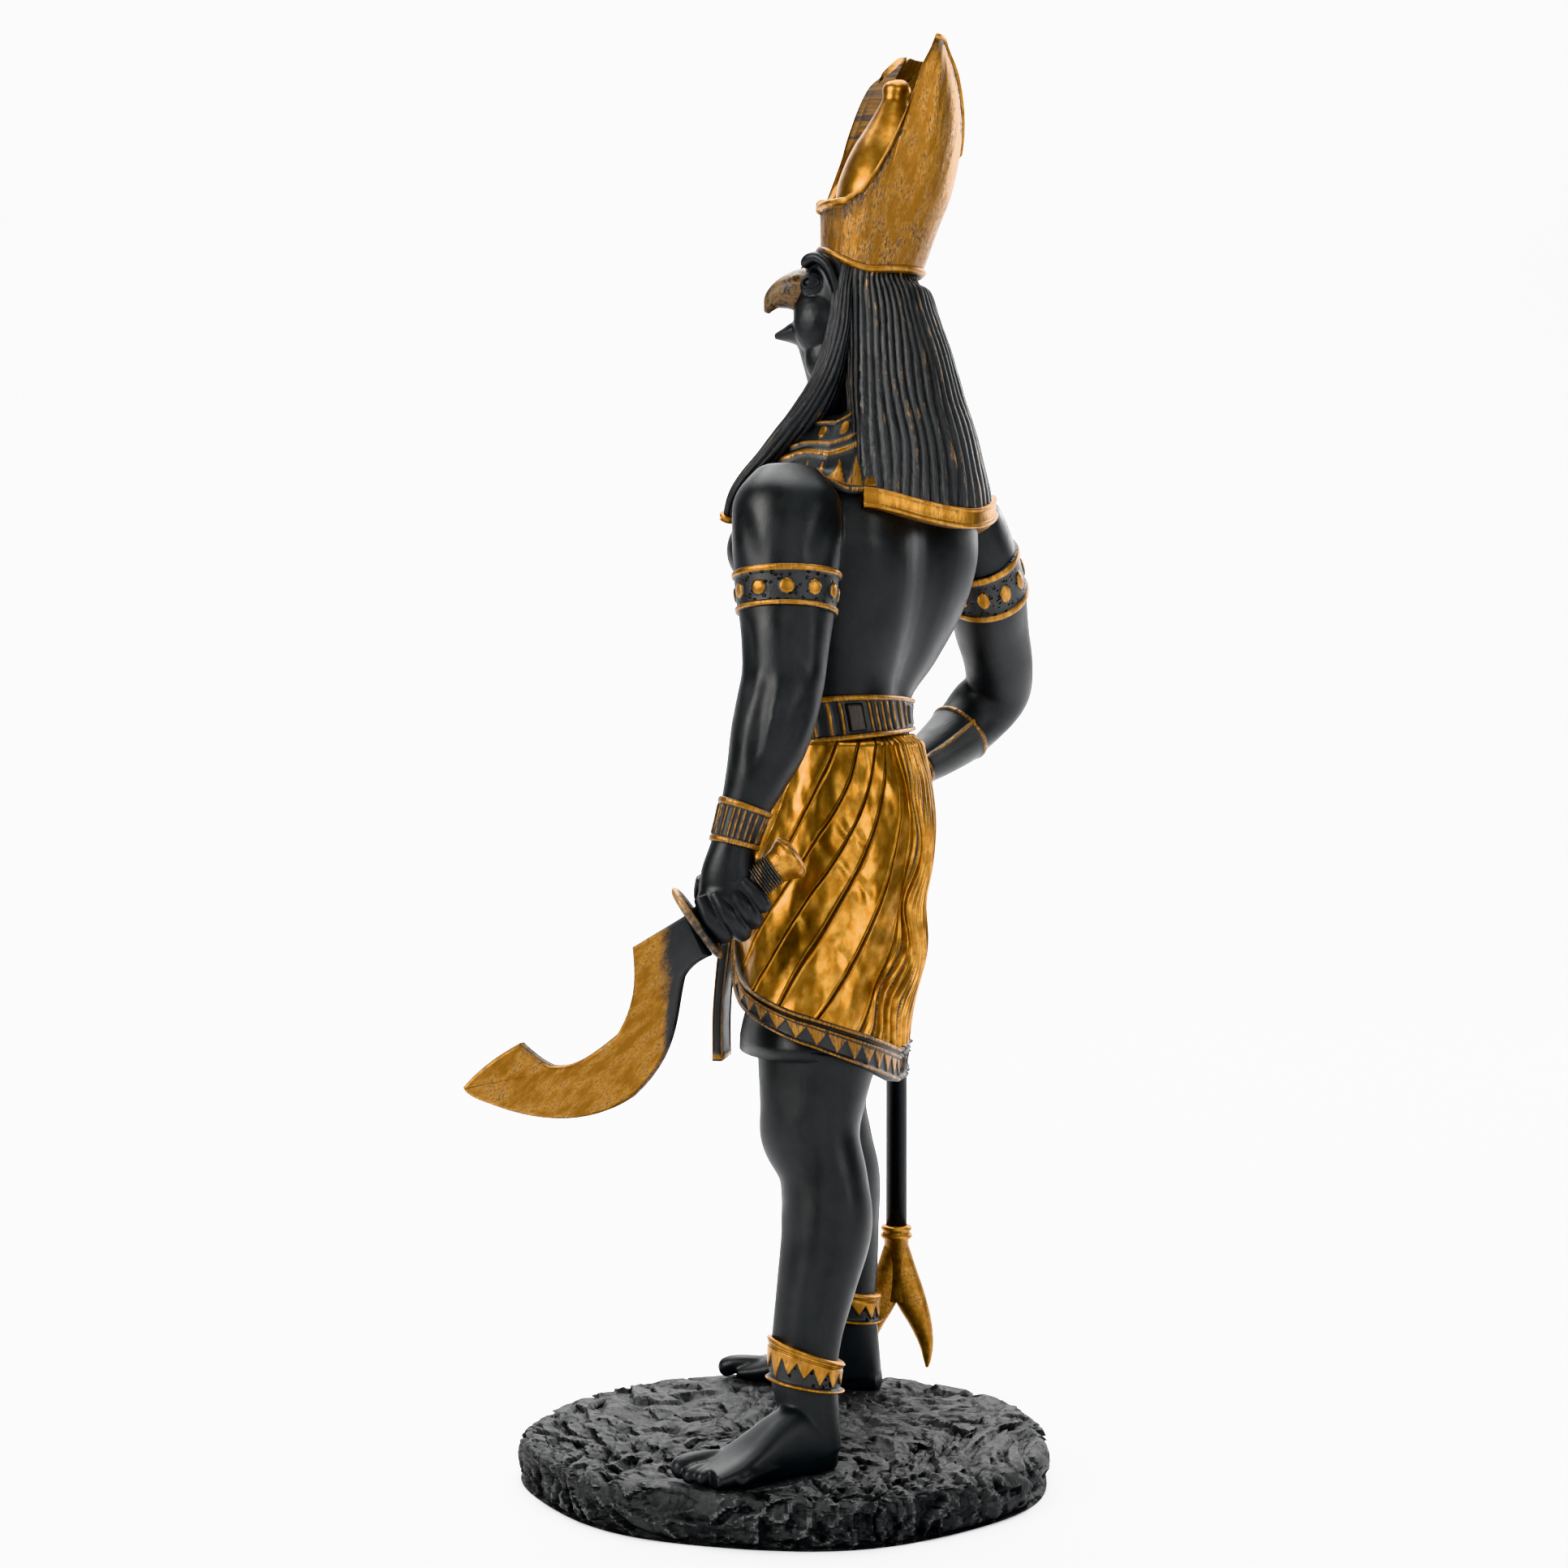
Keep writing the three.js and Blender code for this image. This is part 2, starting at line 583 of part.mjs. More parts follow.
function crownBulb() {
  const rows = [
    [0, 19, 250, 8, 8, 8, 0],
    [0, 20.2, 260, 9.6, 9.6, 9.6, 0],
    [0, 21.4, 269, 8, 8, 8, 0],
    [0, 22.2, 276, 5.4, 5.4, 5.4, 0],
    [0, 22.7, 281, 3.7, 3.7, 3.7, 0],
    [0, 23, 284.4, 3.3, 3.3, 3.3, 0],
    [0, 23.2, 287, 1.2, 1.2, 1.2, 0],
  ];
  return limb(rows, { count: 8 }, { steps: 6 });
}

// The figure in one piece

const leftHeel = [32.4, 5.2];
const leftToes = [46.5, -20.5];
const rightHeel = [-33.8, 16.2];
const rightToes = [-46.4, -13.4];
const leftFist = point(39.4, -11.5, 116);
const leftGrip = point(0, 0.819, 0.574);
const rightFist = point(-42, 25, 139);
const rightGrip = point(0, 0, 1);

function drawFigure() {
  const trunkSolid = limb(trunk, trunkStyle, { from: 2, bands: [belt] });
  const shoulderLayer = [limb(trunk, { ...trunkStyle, grow: 1.1 }, { from: 6, to: 11, steps: 4 }),
    limb(leftArm, { ...leftArmStyle, grow: 1.1 }, { from: 0, to: 2, steps: 3 }),
    limb(rightArm, { ...rightArmStyle, grow: 1.1 }, { from: 0, to: 2, steps: 3 })];
  const chest = [ball(8.2, -2.9, 187, 12.6, 7.6, 9, { yaw: chestTurn, sides: 8, rows: 6 }),
    ball(-13.4, 9, 187.4, 12.6, 7.4, 8.6, { yaw: chestTurn, sides: 8, rows: 6 })];
  return joined([
    trunkSolid,
    ...chest,
    collar(joined(shoulderLayer)),
    limb(leftLeg, legStyle, { bands: [anklet] }),
    limb(rightLeg, legStyle, { bands: [anklet] }),
    foot(leftHeel, leftToes, -1),
    foot(rightHeel, rightToes, 1),
    limb(leftArm, leftArmStyle, { bands: leftArmBands }),
    limb(rightArm, rightArmStyle, { bands: rightArmBands }),
    fist(leftFist, leftGrip, point(1, 0, 0)),
    fist(rightFist, rightGrip, point(-1, 0, 0)),
    pleatedKilt(),
    skinOver(skirt(kilt, () => underKiltHem, kiltWaist - 4, { count: 16, steps: 2, grow: -2.4 }), square),
    apron(),
    limb(wig, { ...wigStyle, carve: strands }, { steps: 5, bands: [wigHem] }),
    limb(leftLappet, { count: 8, power: 2.6, guide: lappetGuide }),
    limb(rightLappet, { count: 8, power: 2.6, guide: lappetGuide }),
    ...falconHead(),
    crownCup(),
    crownBulb(),
  ]);
}

// Everything under the soles is cut off flat
function aboveGround(solid) {
  const ground = new THREE.BoxGeometry(2 * figureHeight, 2 * figureHeight, figureHeight);
  ground.translate(0, 0, -figureHeight / 2);
  return solid.subtract(solidFromGeometry(ground, 1));
}

const inHand = (hand) => hand.clone().multiplyScalar(square);

// A turned form from radius and height pairs, laid along a direction
function turned(profile, direction, place, sides) {
  const lathe = new THREE.LatheGeometry(profile.map(([r, u]) => new THREE.Vector2(r, u)), sides);
  const upright = point(0, 1, 0);
  lathe.applyQuaternion(new THREE.Quaternion().setFromUnitVectors(upright, direction.clone().normalize()));
  lathe.translate(place.x, place.y, place.z);
  return solidFromGeometry(lathe, 1);
}

// Sickle sword. Its blade lies in the plane of Y and Z through the fist and is drawn in parts of its length

const swordGridCount = 83;
const swordSquare = swordLength / swordGridCount;
const fistHalf = 0.52 * fistSize * square;
const bladeBesideGrip = point(0, 0.9, -0.8);

// The blade from the guard: a straight neck, a sharp corner, the sickle's bow and a flared tip
function bladeOutline() {
  const shape = new THREE.Shape();
  shape.moveTo(-9.4, -1.8);
  shape.lineTo(-20.8, -8.7);
  shape.bezierCurveTo(-20.2, -14.6, -20, -19.6, -23.8, -26);
  shape.bezierCurveTo(-28.4, -29.8, -32.4, -33, -37, -32.3);
  shape.quadraticCurveTo(-39.4, -31.4, -43.2, -27.8);
  shape.quadraticCurveTo(-50.6, -31.8, -54.6, -36.7);
  shape.quadraticCurveTo(-54.4, -38.4, -49.2, -40.1);
  shape.bezierCurveTo(-40.4, -43.6, -29.8, -44.8, -21.1, -38.8);
  shape.bezierCurveTo(-11.6, -30.2, -12.6, -22, -10.8, -14.7);
  shape.quadraticCurveTo(-9.4, -12, -5.4, -10.4);
  shape.closePath();
  return shape;
}

function blade() {
  const geometry = new THREE.ExtrudeGeometry(bladeOutline(), { depth: bladeThickness, bevelEnabled: true,
    bevelThickness: 0.5, bevelSize: 0.5, bevelOffset: -0.5, bevelSegments: 1, curveSegments: 4 });
  geometry.scale(swordSquare, swordSquare, 1);
  geometry.translate(0, 0, -bladeThickness / 2);
  geometry.applyMatrix4(new THREE.Matrix4().makeBasis(point(0, 1, 0), point(0, 0, 1), point(1, 0, 0)));
  const corner = inHand(leftFist).add(bladeBesideGrip);
  geometry.translate(corner.x, corner.y, corner.z);
  return solidFromGeometry(geometry, 1);
}

function guard(grow) {
  const geometry = new THREE.CylinderGeometry(1, 1, 1, 12);
  geometry.scale(guardWidth / 2 + grow, guardThickness + 2 * grow, guardLength / 2 + grow);
  geometry.translate(0, -(fistHalf + clearance + guardThickness / 2), 0);
  geometry.applyQuaternion(new THREE.Quaternion().setFromUnitVectors(point(0, 1, 0), leftGrip));
  const hand = inHand(leftFist);
  geometry.translate(hand.x, hand.y, hand.z);
  return solidFromGeometry(geometry, 1);
}

function grip(grow) {
  const radius = gripDiameter / 2 + grow;
  const front = -(fistHalf + clearance + guardThickness);
  const back = fistHalf + clearance;
  const rings = [];
  const ringCount = 3;
  const ringPitch = 1.25;
  const ringRise = 0.6;
  const groove = radius + ringRise / 2;
  for (let i = 0; i < ringCount; i += 1) {
    const from = back + i * ringPitch;
    const crest = radius + ringRise;
    rings.push([groove, from], [crest, from + 0.3 * ringPitch], [crest, from + 0.7 * ringPitch]);
  }
  const neck = back + ringCount * ringPitch;
  const pommel = [[1.1, 0], [1.2, 0.8], [1.45, 2.6], [1.6, 4.4], [1.45, 5.2], [0.8, 5.6], [0, 5.6]];
  return turned([[0, front], [radius, front], ...rings,
    ...pommel.map(([share, along]) => [share * radius, neck + along])], leftGrip, inHand(leftFist), 8);
}

// Forked sceptre: a round staff, a ringed socket with two curved tines, and a small beast's head on top

const staffPlace = inHand(rightFist);
const tipHeight = forkGroundGap - clearance;
const socketFoot = tipHeight + forkHeight * 0.55;
const socketTop = tipHeight + forkHeight;

function sceptre() {
  const radius = staffDiameter / 2;
  const at = (z) => point(staffPlace.x, staffPlace.y, z);
  const top = staffRise - clearance;
  const staff = [[0, socketFoot], [radius * 1.2, socketFoot], [radius * 1.2, socketTop],
    [radius * 1.55, socketTop], [radius * 1.55, socketTop + 1.1], [radius * 1.3, socketTop + 1.5],
    [radius * 1.5, socketTop + 1.9],
    [radius * 1.5, socketTop + 2.8], [radius, socketTop + 3], [radius, top - 3], [radius * 1.3, top - 2.6],
    [radius * 1.3, top - 1], [radius, top - 0.8], [radius, top + 3], [0, top + 3.4]];
  const parts = [turned(staff, point(0, 0, 1), at(0), 8)];
  const half = forkSpread / 2;
  const row = (x, y, z, width, depth) => [(staffPlace.x + x) / square, (staffPlace.y + y) / square, z / square,
    width, depth, depth, 0];
  const guide = point(1, 0, 0);
  for (const side of [1, -1]) {
    const tine = [[0, 0.92, 3], [0.14, 0.74, 3.5], [0.38, 0.54, 3.5], [0.64, 0.36, 2.7], [0.8, 0.2, 1.8],
      [0.84, 0.07, 1], [0.83, 0, 0.35]];
    const rows = tine.map(([out, up, thick]) =>
      row(0, side * out * half, tipHeight + up * forkHeight, Math.min(thick, 2.6), thick));
    parts.push(limb(rows, { count: 6, guide }));
  }
  const head = [[0, 1, 0, 2.5, 2.4], [0, 0, 6, 2.9, 3], [0, -3.6, 9.6, 3, 3.1], [0, -8.4, 9.8, 2.2, 2.3],
    [0, -12.6, 7.6, 1.6, 1.6], [0, -14.6, 5.4, 0.9, 0.9]];
  parts.push(limb(head.map(([x, y, z, ...size]) => row(x, y, top + z, ...size)), { count: 8, guide }));
  for (const side of [1, -1]) {
    const ear = [[1.3, 0.4, 8, 1.2, 0.9], [1.8, 2.4, 12.6, 1.3, 0.9], [2, 4.2, 17, 0.4, 0.4]];
    parts.push(limb(ear.map(([x, y, z, ...size]) => row(side * x, y, top + z, ...size)), { count: 6, guide }));
  }
  return joined(parts);
}

// Rock base: a rough oval with chipped sides, a flat underside and level places for the soles

const chance = (i, j) => {
  const value = Math.sin(i * 12.9898 + j * 78.233 + 3.7) * 43758.5453;
  return value - Math.floor(value);
};

function rock() {
  const count = 28;
  const rows = [[0.965, 0], [0.99, 0.26], [1, 0.55], [0.985, 0.82], [0.94, 0.97], [0.78, 1], [0.54, 1],
    [0.27, 1]];
  const rings = rows.map(([reach, height], row) => {
    const ring = [];
    for (let i = 0; i < count; i += 1) {
      const angle = ((i + (row % 2) * 0.5) / count) * 2 * Math.PI;
      const swell = 1 + 0.012 * Math.sin(3 * angle + 1) + 0.01 * Math.sin(7 * angle) - 0.01;
      const chip = row === 0 ? 0 : (chance(i, row) - 0.5) * baseRoughness * (row < 5 ? 1.7 : 0);
      const dip = height < 0.9 ? 0 : -chance(i + 50, row) * baseRoughness;
      ring.push(point((baseWidth / 2) * swell * reach * Math.cos(angle) + chip * Math.cos(angle),
        (baseLength / 2) * swell * reach * Math.sin(angle) + chip * Math.sin(angle),
        height * baseThickness + dip));
    }
    return ring;
  });
  return skinOver(rings, 1);
}

// Level places under the soles, kept inside the edge of the rock
const soleWidth = 17;
const soleMargin = 5;

function solePlace(heel, toes) {
  const from = point(heel[0] * square, heel[1] * square, 0);
  const to = point(toes[0] * square, toes[1] * square, 0);
  const middle = from.clone().add(to).multiplyScalar(0.5).add(point(stanceShift, 0, 0));
  const height = baseThickness - 2;
  const slab = new THREE.CylinderGeometry(soleWidth / 2, soleWidth / 2 + 0.6, height, 12);
  slab.rotateX(Math.PI / 2);
  slab.scale(1, (from.distanceTo(to) / 2 + soleMargin) / (soleWidth / 2), 1);
  slab.rotateZ(Math.atan2(to.y - from.y, to.x - from.x) - Math.PI / 2);
  slab.translate(middle.x, middle.y, baseThickness - height / 2);
  const edge = new THREE.CylinderGeometry(0.955, 0.955, baseThickness * 2, 30);
  edge.rotateX(Math.PI / 2);
  edge.scale(baseWidth / 2, baseLength / 2, 1);
  return solidFromGeometry(slab, 1).intersect(solidFromGeometry(edge, 1));
}

function meshOf(name, solid, material) {
  const { vertProperties, triVerts } = solid.getMesh();
  const geometry = new THREE.BufferGeometry();
  geometry.setAttribute('position', new THREE.BufferAttribute(new Float32Array(vertProperties), 3));
  geometry.setIndex(new THREE.BufferAttribute(new Uint32Array(triVerts), 1));
  const mesh = new THREE.Mesh(geometry, material);
  mesh.name = name;
  return mesh;
}

const blackResin = new THREE.MeshStandardMaterial({ color: 0x23272a, roughness: 0.45, metalness: 0 });
const stoneResin = new THREE.MeshStandardMaterial({ color: 0x2b2d2f, roughness: 0.85, metalness: 0 });
const goldPaint = new THREE.MeshStandardMaterial({ color: 0xb07f2c, roughness: 0.4, metalness: 0.7 });

const gripBore = grip(clearance).add(guard(clearance));
const boreRadius = staffDiameter / 2 + clearance;
const boreReach = 1.5 * fistHalf;
const boreProfile = [[0, -boreReach], [boreRadius, -boreReach], [boreRadius, boreReach], [0, boreReach]];
const staffBore = turned(boreProfile, rightGrip, inHand(rightFist), smallSides);
const figure = aboveGround(drawFigure()).subtract(gripBore).subtract(staffBore);

const part = new THREE.Group();
const standing = new THREE.Group();
standing.position.set(stanceShift, 0, baseThickness + clearance);
standing.add(meshOf('figure', figure, blackResin));
standing.add(meshOf('khopesh', joined([grip(0), guard(0), blade()]), goldPaint));
const levelRock = joined([rock(), solePlace(leftHeel, leftToes), solePlace(rightHeel, rightToes)]);
part.add(meshOf('rock_base', levelRock, stoneResin));
standing.add(meshOf('was_sceptre', sceptre(), blackResin));
part.add(standing);

export default part;
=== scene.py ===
# %% [markdown]
# # A falcon-headed figure in painted resin
# The real thing is a cast resin figure about 30 cm tall: a black satin body, brushed bronze hair, a polished
# gold kilt, a tall gold crown, a sickle sword, a forked sceptre and a stone-like base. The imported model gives
# the true outline and the place of everything. Here each part gets its carving and its paint.

# %% Load the frame
import math

import bmesh
import bpy
from mathutils import Matrix, Vector, noise
from mathutils.bvhtree import BVHTree


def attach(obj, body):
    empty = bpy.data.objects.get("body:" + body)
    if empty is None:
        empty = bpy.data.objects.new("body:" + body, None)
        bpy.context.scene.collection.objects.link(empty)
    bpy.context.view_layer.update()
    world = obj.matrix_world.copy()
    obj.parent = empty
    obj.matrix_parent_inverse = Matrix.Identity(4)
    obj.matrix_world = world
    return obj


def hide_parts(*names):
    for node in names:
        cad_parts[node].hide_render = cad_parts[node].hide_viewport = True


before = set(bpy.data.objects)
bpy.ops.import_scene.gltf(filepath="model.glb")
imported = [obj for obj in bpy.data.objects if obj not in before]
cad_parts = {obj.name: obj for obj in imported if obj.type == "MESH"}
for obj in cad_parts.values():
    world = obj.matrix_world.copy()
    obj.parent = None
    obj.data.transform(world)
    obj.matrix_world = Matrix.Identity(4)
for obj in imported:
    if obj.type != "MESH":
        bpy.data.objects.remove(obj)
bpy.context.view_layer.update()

scene = bpy.context.scene

# %% [markdown]
# ## The camera
# The photograph looks at the figure's left side from a little above. The lens follows from the figure's
# height in the frame. It comes first, so that every later piece can be judged from the same place.

# %% The camera
CAMERA_DISTANCE = 0.585
CAMERA_HEIGHT = 0.1655
CAMERA_SIDE = -0.00085
PICTURE_PIXELS = 1932
FOCAL_PIXELS = 3388
PIXELS_TO_HORIZON = 100
SENSOR = 36.0
LOOK_DOWN = math.atan(PIXELS_TO_HORIZON / FOCAL_PIXELS)

camera_data = bpy.data.cameras.new("camera")
camera_data.sensor_width = SENSOR
camera_data.lens = SENSOR * FOCAL_PIXELS / PICTURE_PIXELS
camera = bpy.data.objects.new("camera", camera_data)
camera.location = (CAMERA_DISTANCE, CAMERA_SIDE, CAMERA_HEIGHT)
view_line = Vector((-math.cos(LOOK_DOWN), 0.0, -math.sin(LOOK_DOWN)))
camera.rotation_euler = view_line.to_track_quat("-Z", "Y").to_euler()
scene.collection.objects.link(camera)
scene.camera = camera
print("lens", round(camera_data.lens, 1), "mm")

# %% [markdown]
# ## Lofting
# Limbs, hair, cloth and bands are all skins over a row of sections. A section is a rounded oval that stands
# square to the limb's line, and a table gives its middle, its half width and its depths. Everything is drawn
# in millimetres above the soles, and goes to metres and to its place on the base at the end. First come the
# small functions that the forms share: soft steps, bell curves, and smooth values between two table rows.

# %% Measures and small helpers
STANDING = Vector((-2.0, 0.0, 10.3))
TO_METRES = Matrix.Scale(0.001, 4) @ Matrix.Translation(STANDING)
BASE_TO_METRES = Matrix.Scale(0.001, 4)
X_AXIS = Vector((1.0, 0.0, 0.0))
Z_AXIS = Vector((0.0, 0.0, 1.0))


def clamp(value, low=0.0, high=1.0):
    return max(low, min(high, value))


def smoothstep(value, low, high):
    t = clamp((value - low) / (high - low))
    return t * t * (3 - 2 * t)


def bell(value, width):
    return math.exp(-((value / width) ** 2))


def rounded(value, power):
    return math.copysign(abs(value) ** (2 / power), value)


def between(rows, at):
    """Smooth values between the rows of a table, at a place counted in rows."""
    last = len(rows) - 1
    i = min(int(at), last - 1)
    t = at - i
    before, here, after, beyond = rows[max(i - 1, 0)], rows[i], rows[i + 1], rows[min(i + 2, last)]
    values = []
    for p, q, r, s in zip(before, here, after, beyond):
        slope_in, slope_out, rise = (r - p) / 2, (s - q) / 2, r - q
        values.append(q + slope_in * t + (3 * rise - 2 * slope_in - slope_out) * t * t
                      + (slope_in + slope_out - 2 * rise) * t ** 3)
    return values


def row_at(rows, height):
    k = 0
    while k + 2 < len(rows) and rows[k + 1][2] < height:
        k += 1
    low, high = rows[k][2], rows[k + 1][2]
    return clamp(k + (height - low) / (high - low), 0, len(rows) - 1)


def spread(start, end, count):
    return [start + (end - start) * i / (count - 1) for i in range(count)]


def turns(count):
    """Evenly spread angles round a full turn."""
    return [math.tau * i / count for i in range(count)]


def around(radius, angle, z):
    return radius * math.cos(angle), radius * math.sin(angle), z


def oval(angle, power, width, front, back, more=0.0):
    """Sideways place and depth of a point on a rounded oval."""
    c, s = math.cos(angle), math.sin(angle)
    return rounded(c, power) * (width + more), rounded(s, power) * ((back if s > 0 else front) + more)


def from_front(angle):
    """How far an angle is from straight ahead, either way round."""
    return abs((angle - math.pi / 2) % math.tau - math.pi)


print("helpers ready")

# %% [markdown]
# A loft starts as a flat grid from bmesh. Its points go to their places on the sections, its seam is welded
# and its two ends are filled. This needs no list of faces, and the same few lines serve an arm, a lock of
# hair or the wall of the crown. Balls and tubes are the other two forms that the figure is made from.

# %% Sections and lofts
PLAIN_LOOK = (0.0, 0.6, 0.0)


def section(rows, at, sides, guide=X_AXIS, power=2.0, lift=None):
    """The points of one section. Row: x, y, z, half width, front depth, back depth, turn."""
    x, y, z, width, front, back, yaw = between(rows, at)
    last = len(rows) - 1
    ahead, behind = between(rows, min(at + 0.05, last)), between(rows, max(at - 0.05, 0))
    line = (Vector(ahead[:3]) - Vector(behind[:3])).normalized()
    across = Matrix.Rotation(-math.radians(yaw), 3, "Z") @ guide
    across = (across - line * across.dot(line)).normalized()
    along = line.cross(across)
    centre = Vector((x, y, z))
    points = []
    for i, angle in enumerate(turns(sides)):
        sideways, depth = oval(angle, power, width, front, back, lift[i] if lift else 0.0)
        points.append(centre + across * sideways + along * depth)
    return points


def carving_layers(bm):
    """Where a loft stores how raised a point is, whether it is gilded, and its place for streaks."""
    floats, vectors = bm.verts.layers.float, bm.verts.layers.float_vector
    for layers, name in ((floats, "relief"), (floats, "gilt"), (vectors, "flow")):
        if not layers.get(name):
            layers.new(name)
    return floats["relief"], floats["gilt"], vectors["flow"]


def loft(bm, rings, marks=None, close=True):
    """A skin over rings of points. marks gives (relief, gilt, place for streaks) for each point."""
    relief, gilt, flow = carving_layers(bm)
    sides, width = len(rings[0]), len(rings[0]) + 1
    made = bmesh.ops.create_grid(bm, x_segments=sides, y_segments=len(rings) - 1, size=1.0)["verts"]
    for k, vert in enumerate(made):
        row, i = k // width, k % width % sides
        vert.co = rings[row][i]
        if marks:
            vert[relief], vert[gilt], vert[flow] = marks[row][i]
    seam = {made[row * width + sides]: made[row * width] for row in range(len(rings))}
    ends = [made[:sides], made[-width:-1]]
    bmesh.ops.weld_verts(bm, targetmap=seam)
    if close:
        for end in ends:
            inside = set(end)
            edges = [e for e in {e for v in end for e in v.link_edges} if e.other_vert(e.verts[0]) in inside
                     and e.verts[0] in inside]
            bmesh.ops.edgeloop_fill(bm, edges=edges)
    return bm


def skin(bm, rows, places, sides, shape=None, guide=X_AXIS, power=2.0):
    """A loft over a table. shape(place, angle) gives height, relief and gilding."""
    rings, marks = [], []
    along, last_centre = 0.0, None
    for at in places:
        x, y, z, width = between(rows, at)[:4]
        centre = Vector((x, y, z))
        along += (centre - last_centre).length if last_centre else 0.0
        last_centre = centre
        looks = [shape(at, angle) if shape else PLAIN_LOOK for angle in turns(sides)]
        rings.append(section(rows, at, sides, guide, power, [lift for lift, _, _ in looks]))
        marks.append([(relief, gilt, around(width, angle, along))
                      for angle, (_, relief, gilt) in zip(turns(sides), looks)])
    return loft(bm, rings, marks)


def ball(bm, centre, radii, yaw=0.0):
    """A stretched round form; yaw turns it about the upright."""
    turning = Matrix.Rotation(math.radians(yaw), 4, "Z")
    place = Matrix.Translation(Vector(centre)) @ turning @ Matrix.Diagonal((*radii, 1.0))
    bmesh.ops.create_icosphere(bm, subdivisions=3, radius=1.0, matrix=place)


def tube(bm, path, radii, sides, guide, steps=4):
    """A round form along a smooth path with a radius at each point."""
    rows = [[*spot, r, r, r, 0] for spot, r in zip(path, radii)]
    count = (len(rows) - 1) * steps + 1
    return loft(bm, [section(rows, at, sides, guide=guide) for at in spread(0, len(rows) - 1, count)])


print("loft, ball and tube ready")

# %% [markdown]
# ## Turning a bmesh into a piece of the figure
# Every piece ends the same way: its mesh goes to metres, gets its finish, rides on the one body, and hides
# the imported solid that it stands for. Overlapping forms that should be one skin, such as arm and
# shoulder, first go through a voxel remesh with a light smoothing, as a sculptor blends clay.

# %% Finishing a piece


def as_piece(name, bm, finish, node="figure", matrix=TO_METRES):
    bmesh.ops.recalc_face_normals(bm, faces=bm.faces)
    mesh = bpy.data.meshes.new(name)
    bm.to_mesh(mesh)
    bm.free()
    mesh.transform(matrix)
    mesh.shade_smooth()
    mesh.materials.append(finish)
    piece = bpy.data.objects.new(name, mesh)
    scene.collection.objects.link(piece)
    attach(piece, "root")
    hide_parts(node)
    print(name, "has", len(mesh.polygons), "faces")
    return piece


def blended(bm, voxel, smoothing):
    """One closed skin round all the forms in bm."""
    bmesh.ops.recalc_face_normals(bm, faces=bm.faces)
    mesh = bpy.data.meshes.new("clay")
    bm.to_mesh(mesh)
    bm.free()
    clay = bpy.data.objects.new("clay", mesh)
    scene.collection.objects.link(clay)
    remesh = clay.modifiers.new("remesh", "REMESH")
    remesh.mode = "VOXEL"
    remesh.voxel_size = voxel
    smooth = clay.modifiers.new("smooth", "SMOOTH")
    smooth.factor = 0.5
    smooth.iterations = smoothing
    graph = bpy.context.evaluated_depsgraph_get()
    result = bmesh.new()
    result.from_object(clay, graph)
    bpy.data.objects.remove(clay)
    bpy.data.meshes.remove(mesh)
    return result


print("pieces can be finished")

# %% [markdown]
# ## Paint
# The figure is painted in three steps: satin black all over, gold on the raised trim, then a nearly dry brush
# that leaves streaks of gold or bronze only on what stands proud. Each of these is a node group, built once.
# The carving tells the paint where it is: every loft stores how raised a point is, whether it is gilded, and
# a place along the piece that streaks can follow. A small class keeps the joining of nodes short.

# %% Wiring nodes together


class Wiring:
    """Short ways to place and join the nodes of one tree."""

    def __init__(self, tree):
        self.nodes = tree.nodes
        self.links = tree.links

    def feed(self, socket, value):
        if isinstance(value, bpy.types.NodeSocket):
            self.links.new(value, socket)
        else:
            socket.default_value = value

    def maths(self, operation, a, b=0.0, limit=False):
        node = self.nodes.new("ShaderNodeMath")
        node.operation = operation
        node.use_clamp = limit
        self.feed(node.inputs[0], a)
        self.feed(node.inputs[1], b)
        return node.outputs[0]

    def swing(self, value, amount):
        """A noise about its middle, made stronger or weaker."""
        return self.maths("MULTIPLY", self.maths("SUBTRACT", value, 0.5), amount)

    def mix(self, factor, a, b):
        node = self.nodes.new("ShaderNodeMix")
        node.data_type = "RGBA"
        self.feed(node.inputs[0], factor)
        self.feed(node.inputs[6], a)
        self.feed(node.inputs[7], b)
        return node.outputs[2]

    def blend(self, factor, a, b):
        node = self.nodes.new("ShaderNodeMix")
        node.data_type = "FLOAT"
        self.feed(node.inputs[0], factor)
        self.feed(node.inputs[2], a)
        self.feed(node.inputs[3], b)
        return node.outputs[0]

    def grain(self, vector, scale, detail=4.0, rough=0.55):
        node = self.nodes.new("ShaderNodeTexNoise")
        self.feed(node.inputs["Vector"], vector)
        node.inputs["Scale"].default_value = scale
        node.inputs["Detail"].default_value = detail
        node.inputs["Roughness"].default_value = rough
        return node.outputs["Fac"]

    def remap(self, value, low, high, to_low=0.0, to_high=1.0):
        node = self.nodes.new("ShaderNodeMapRange")
        node.interpolation_type = "SMOOTHSTEP"
        self.feed(node.inputs["Value"], value)
        for label, number in zip(("From Min", "From Max", "To Min", "To Max"), (low, high, to_low, to_high)):
            node.inputs[label].default_value = number
        return node.outputs["Result"]

    def stretched(self, vector, scale):
        node = self.nodes.new("ShaderNodeMapping")
        self.feed(node.inputs["Vector"], vector)
        node.inputs["Scale"].default_value = scale
        return node.outputs["Vector"]

    def vector(self, operation, a, b, output=0):
        node = self.nodes.new("ShaderNodeVectorMath")
        node.operation = operation
        self.feed(node.inputs[0], a)
        self.feed(node.inputs[1], b)
        return node.outputs[output]

    def carved(self, name, output="Fac"):
        node = self.nodes.new("ShaderNodeAttribute")
        node.attribute_name = name
        return node.outputs[output]

    def group(self, tree, **values):
        node = self.nodes.new("ShaderNodeGroup")
        node.node_tree = tree
        for label, value in values.items():
            self.feed(node.inputs[label], value)
        return node.outputs


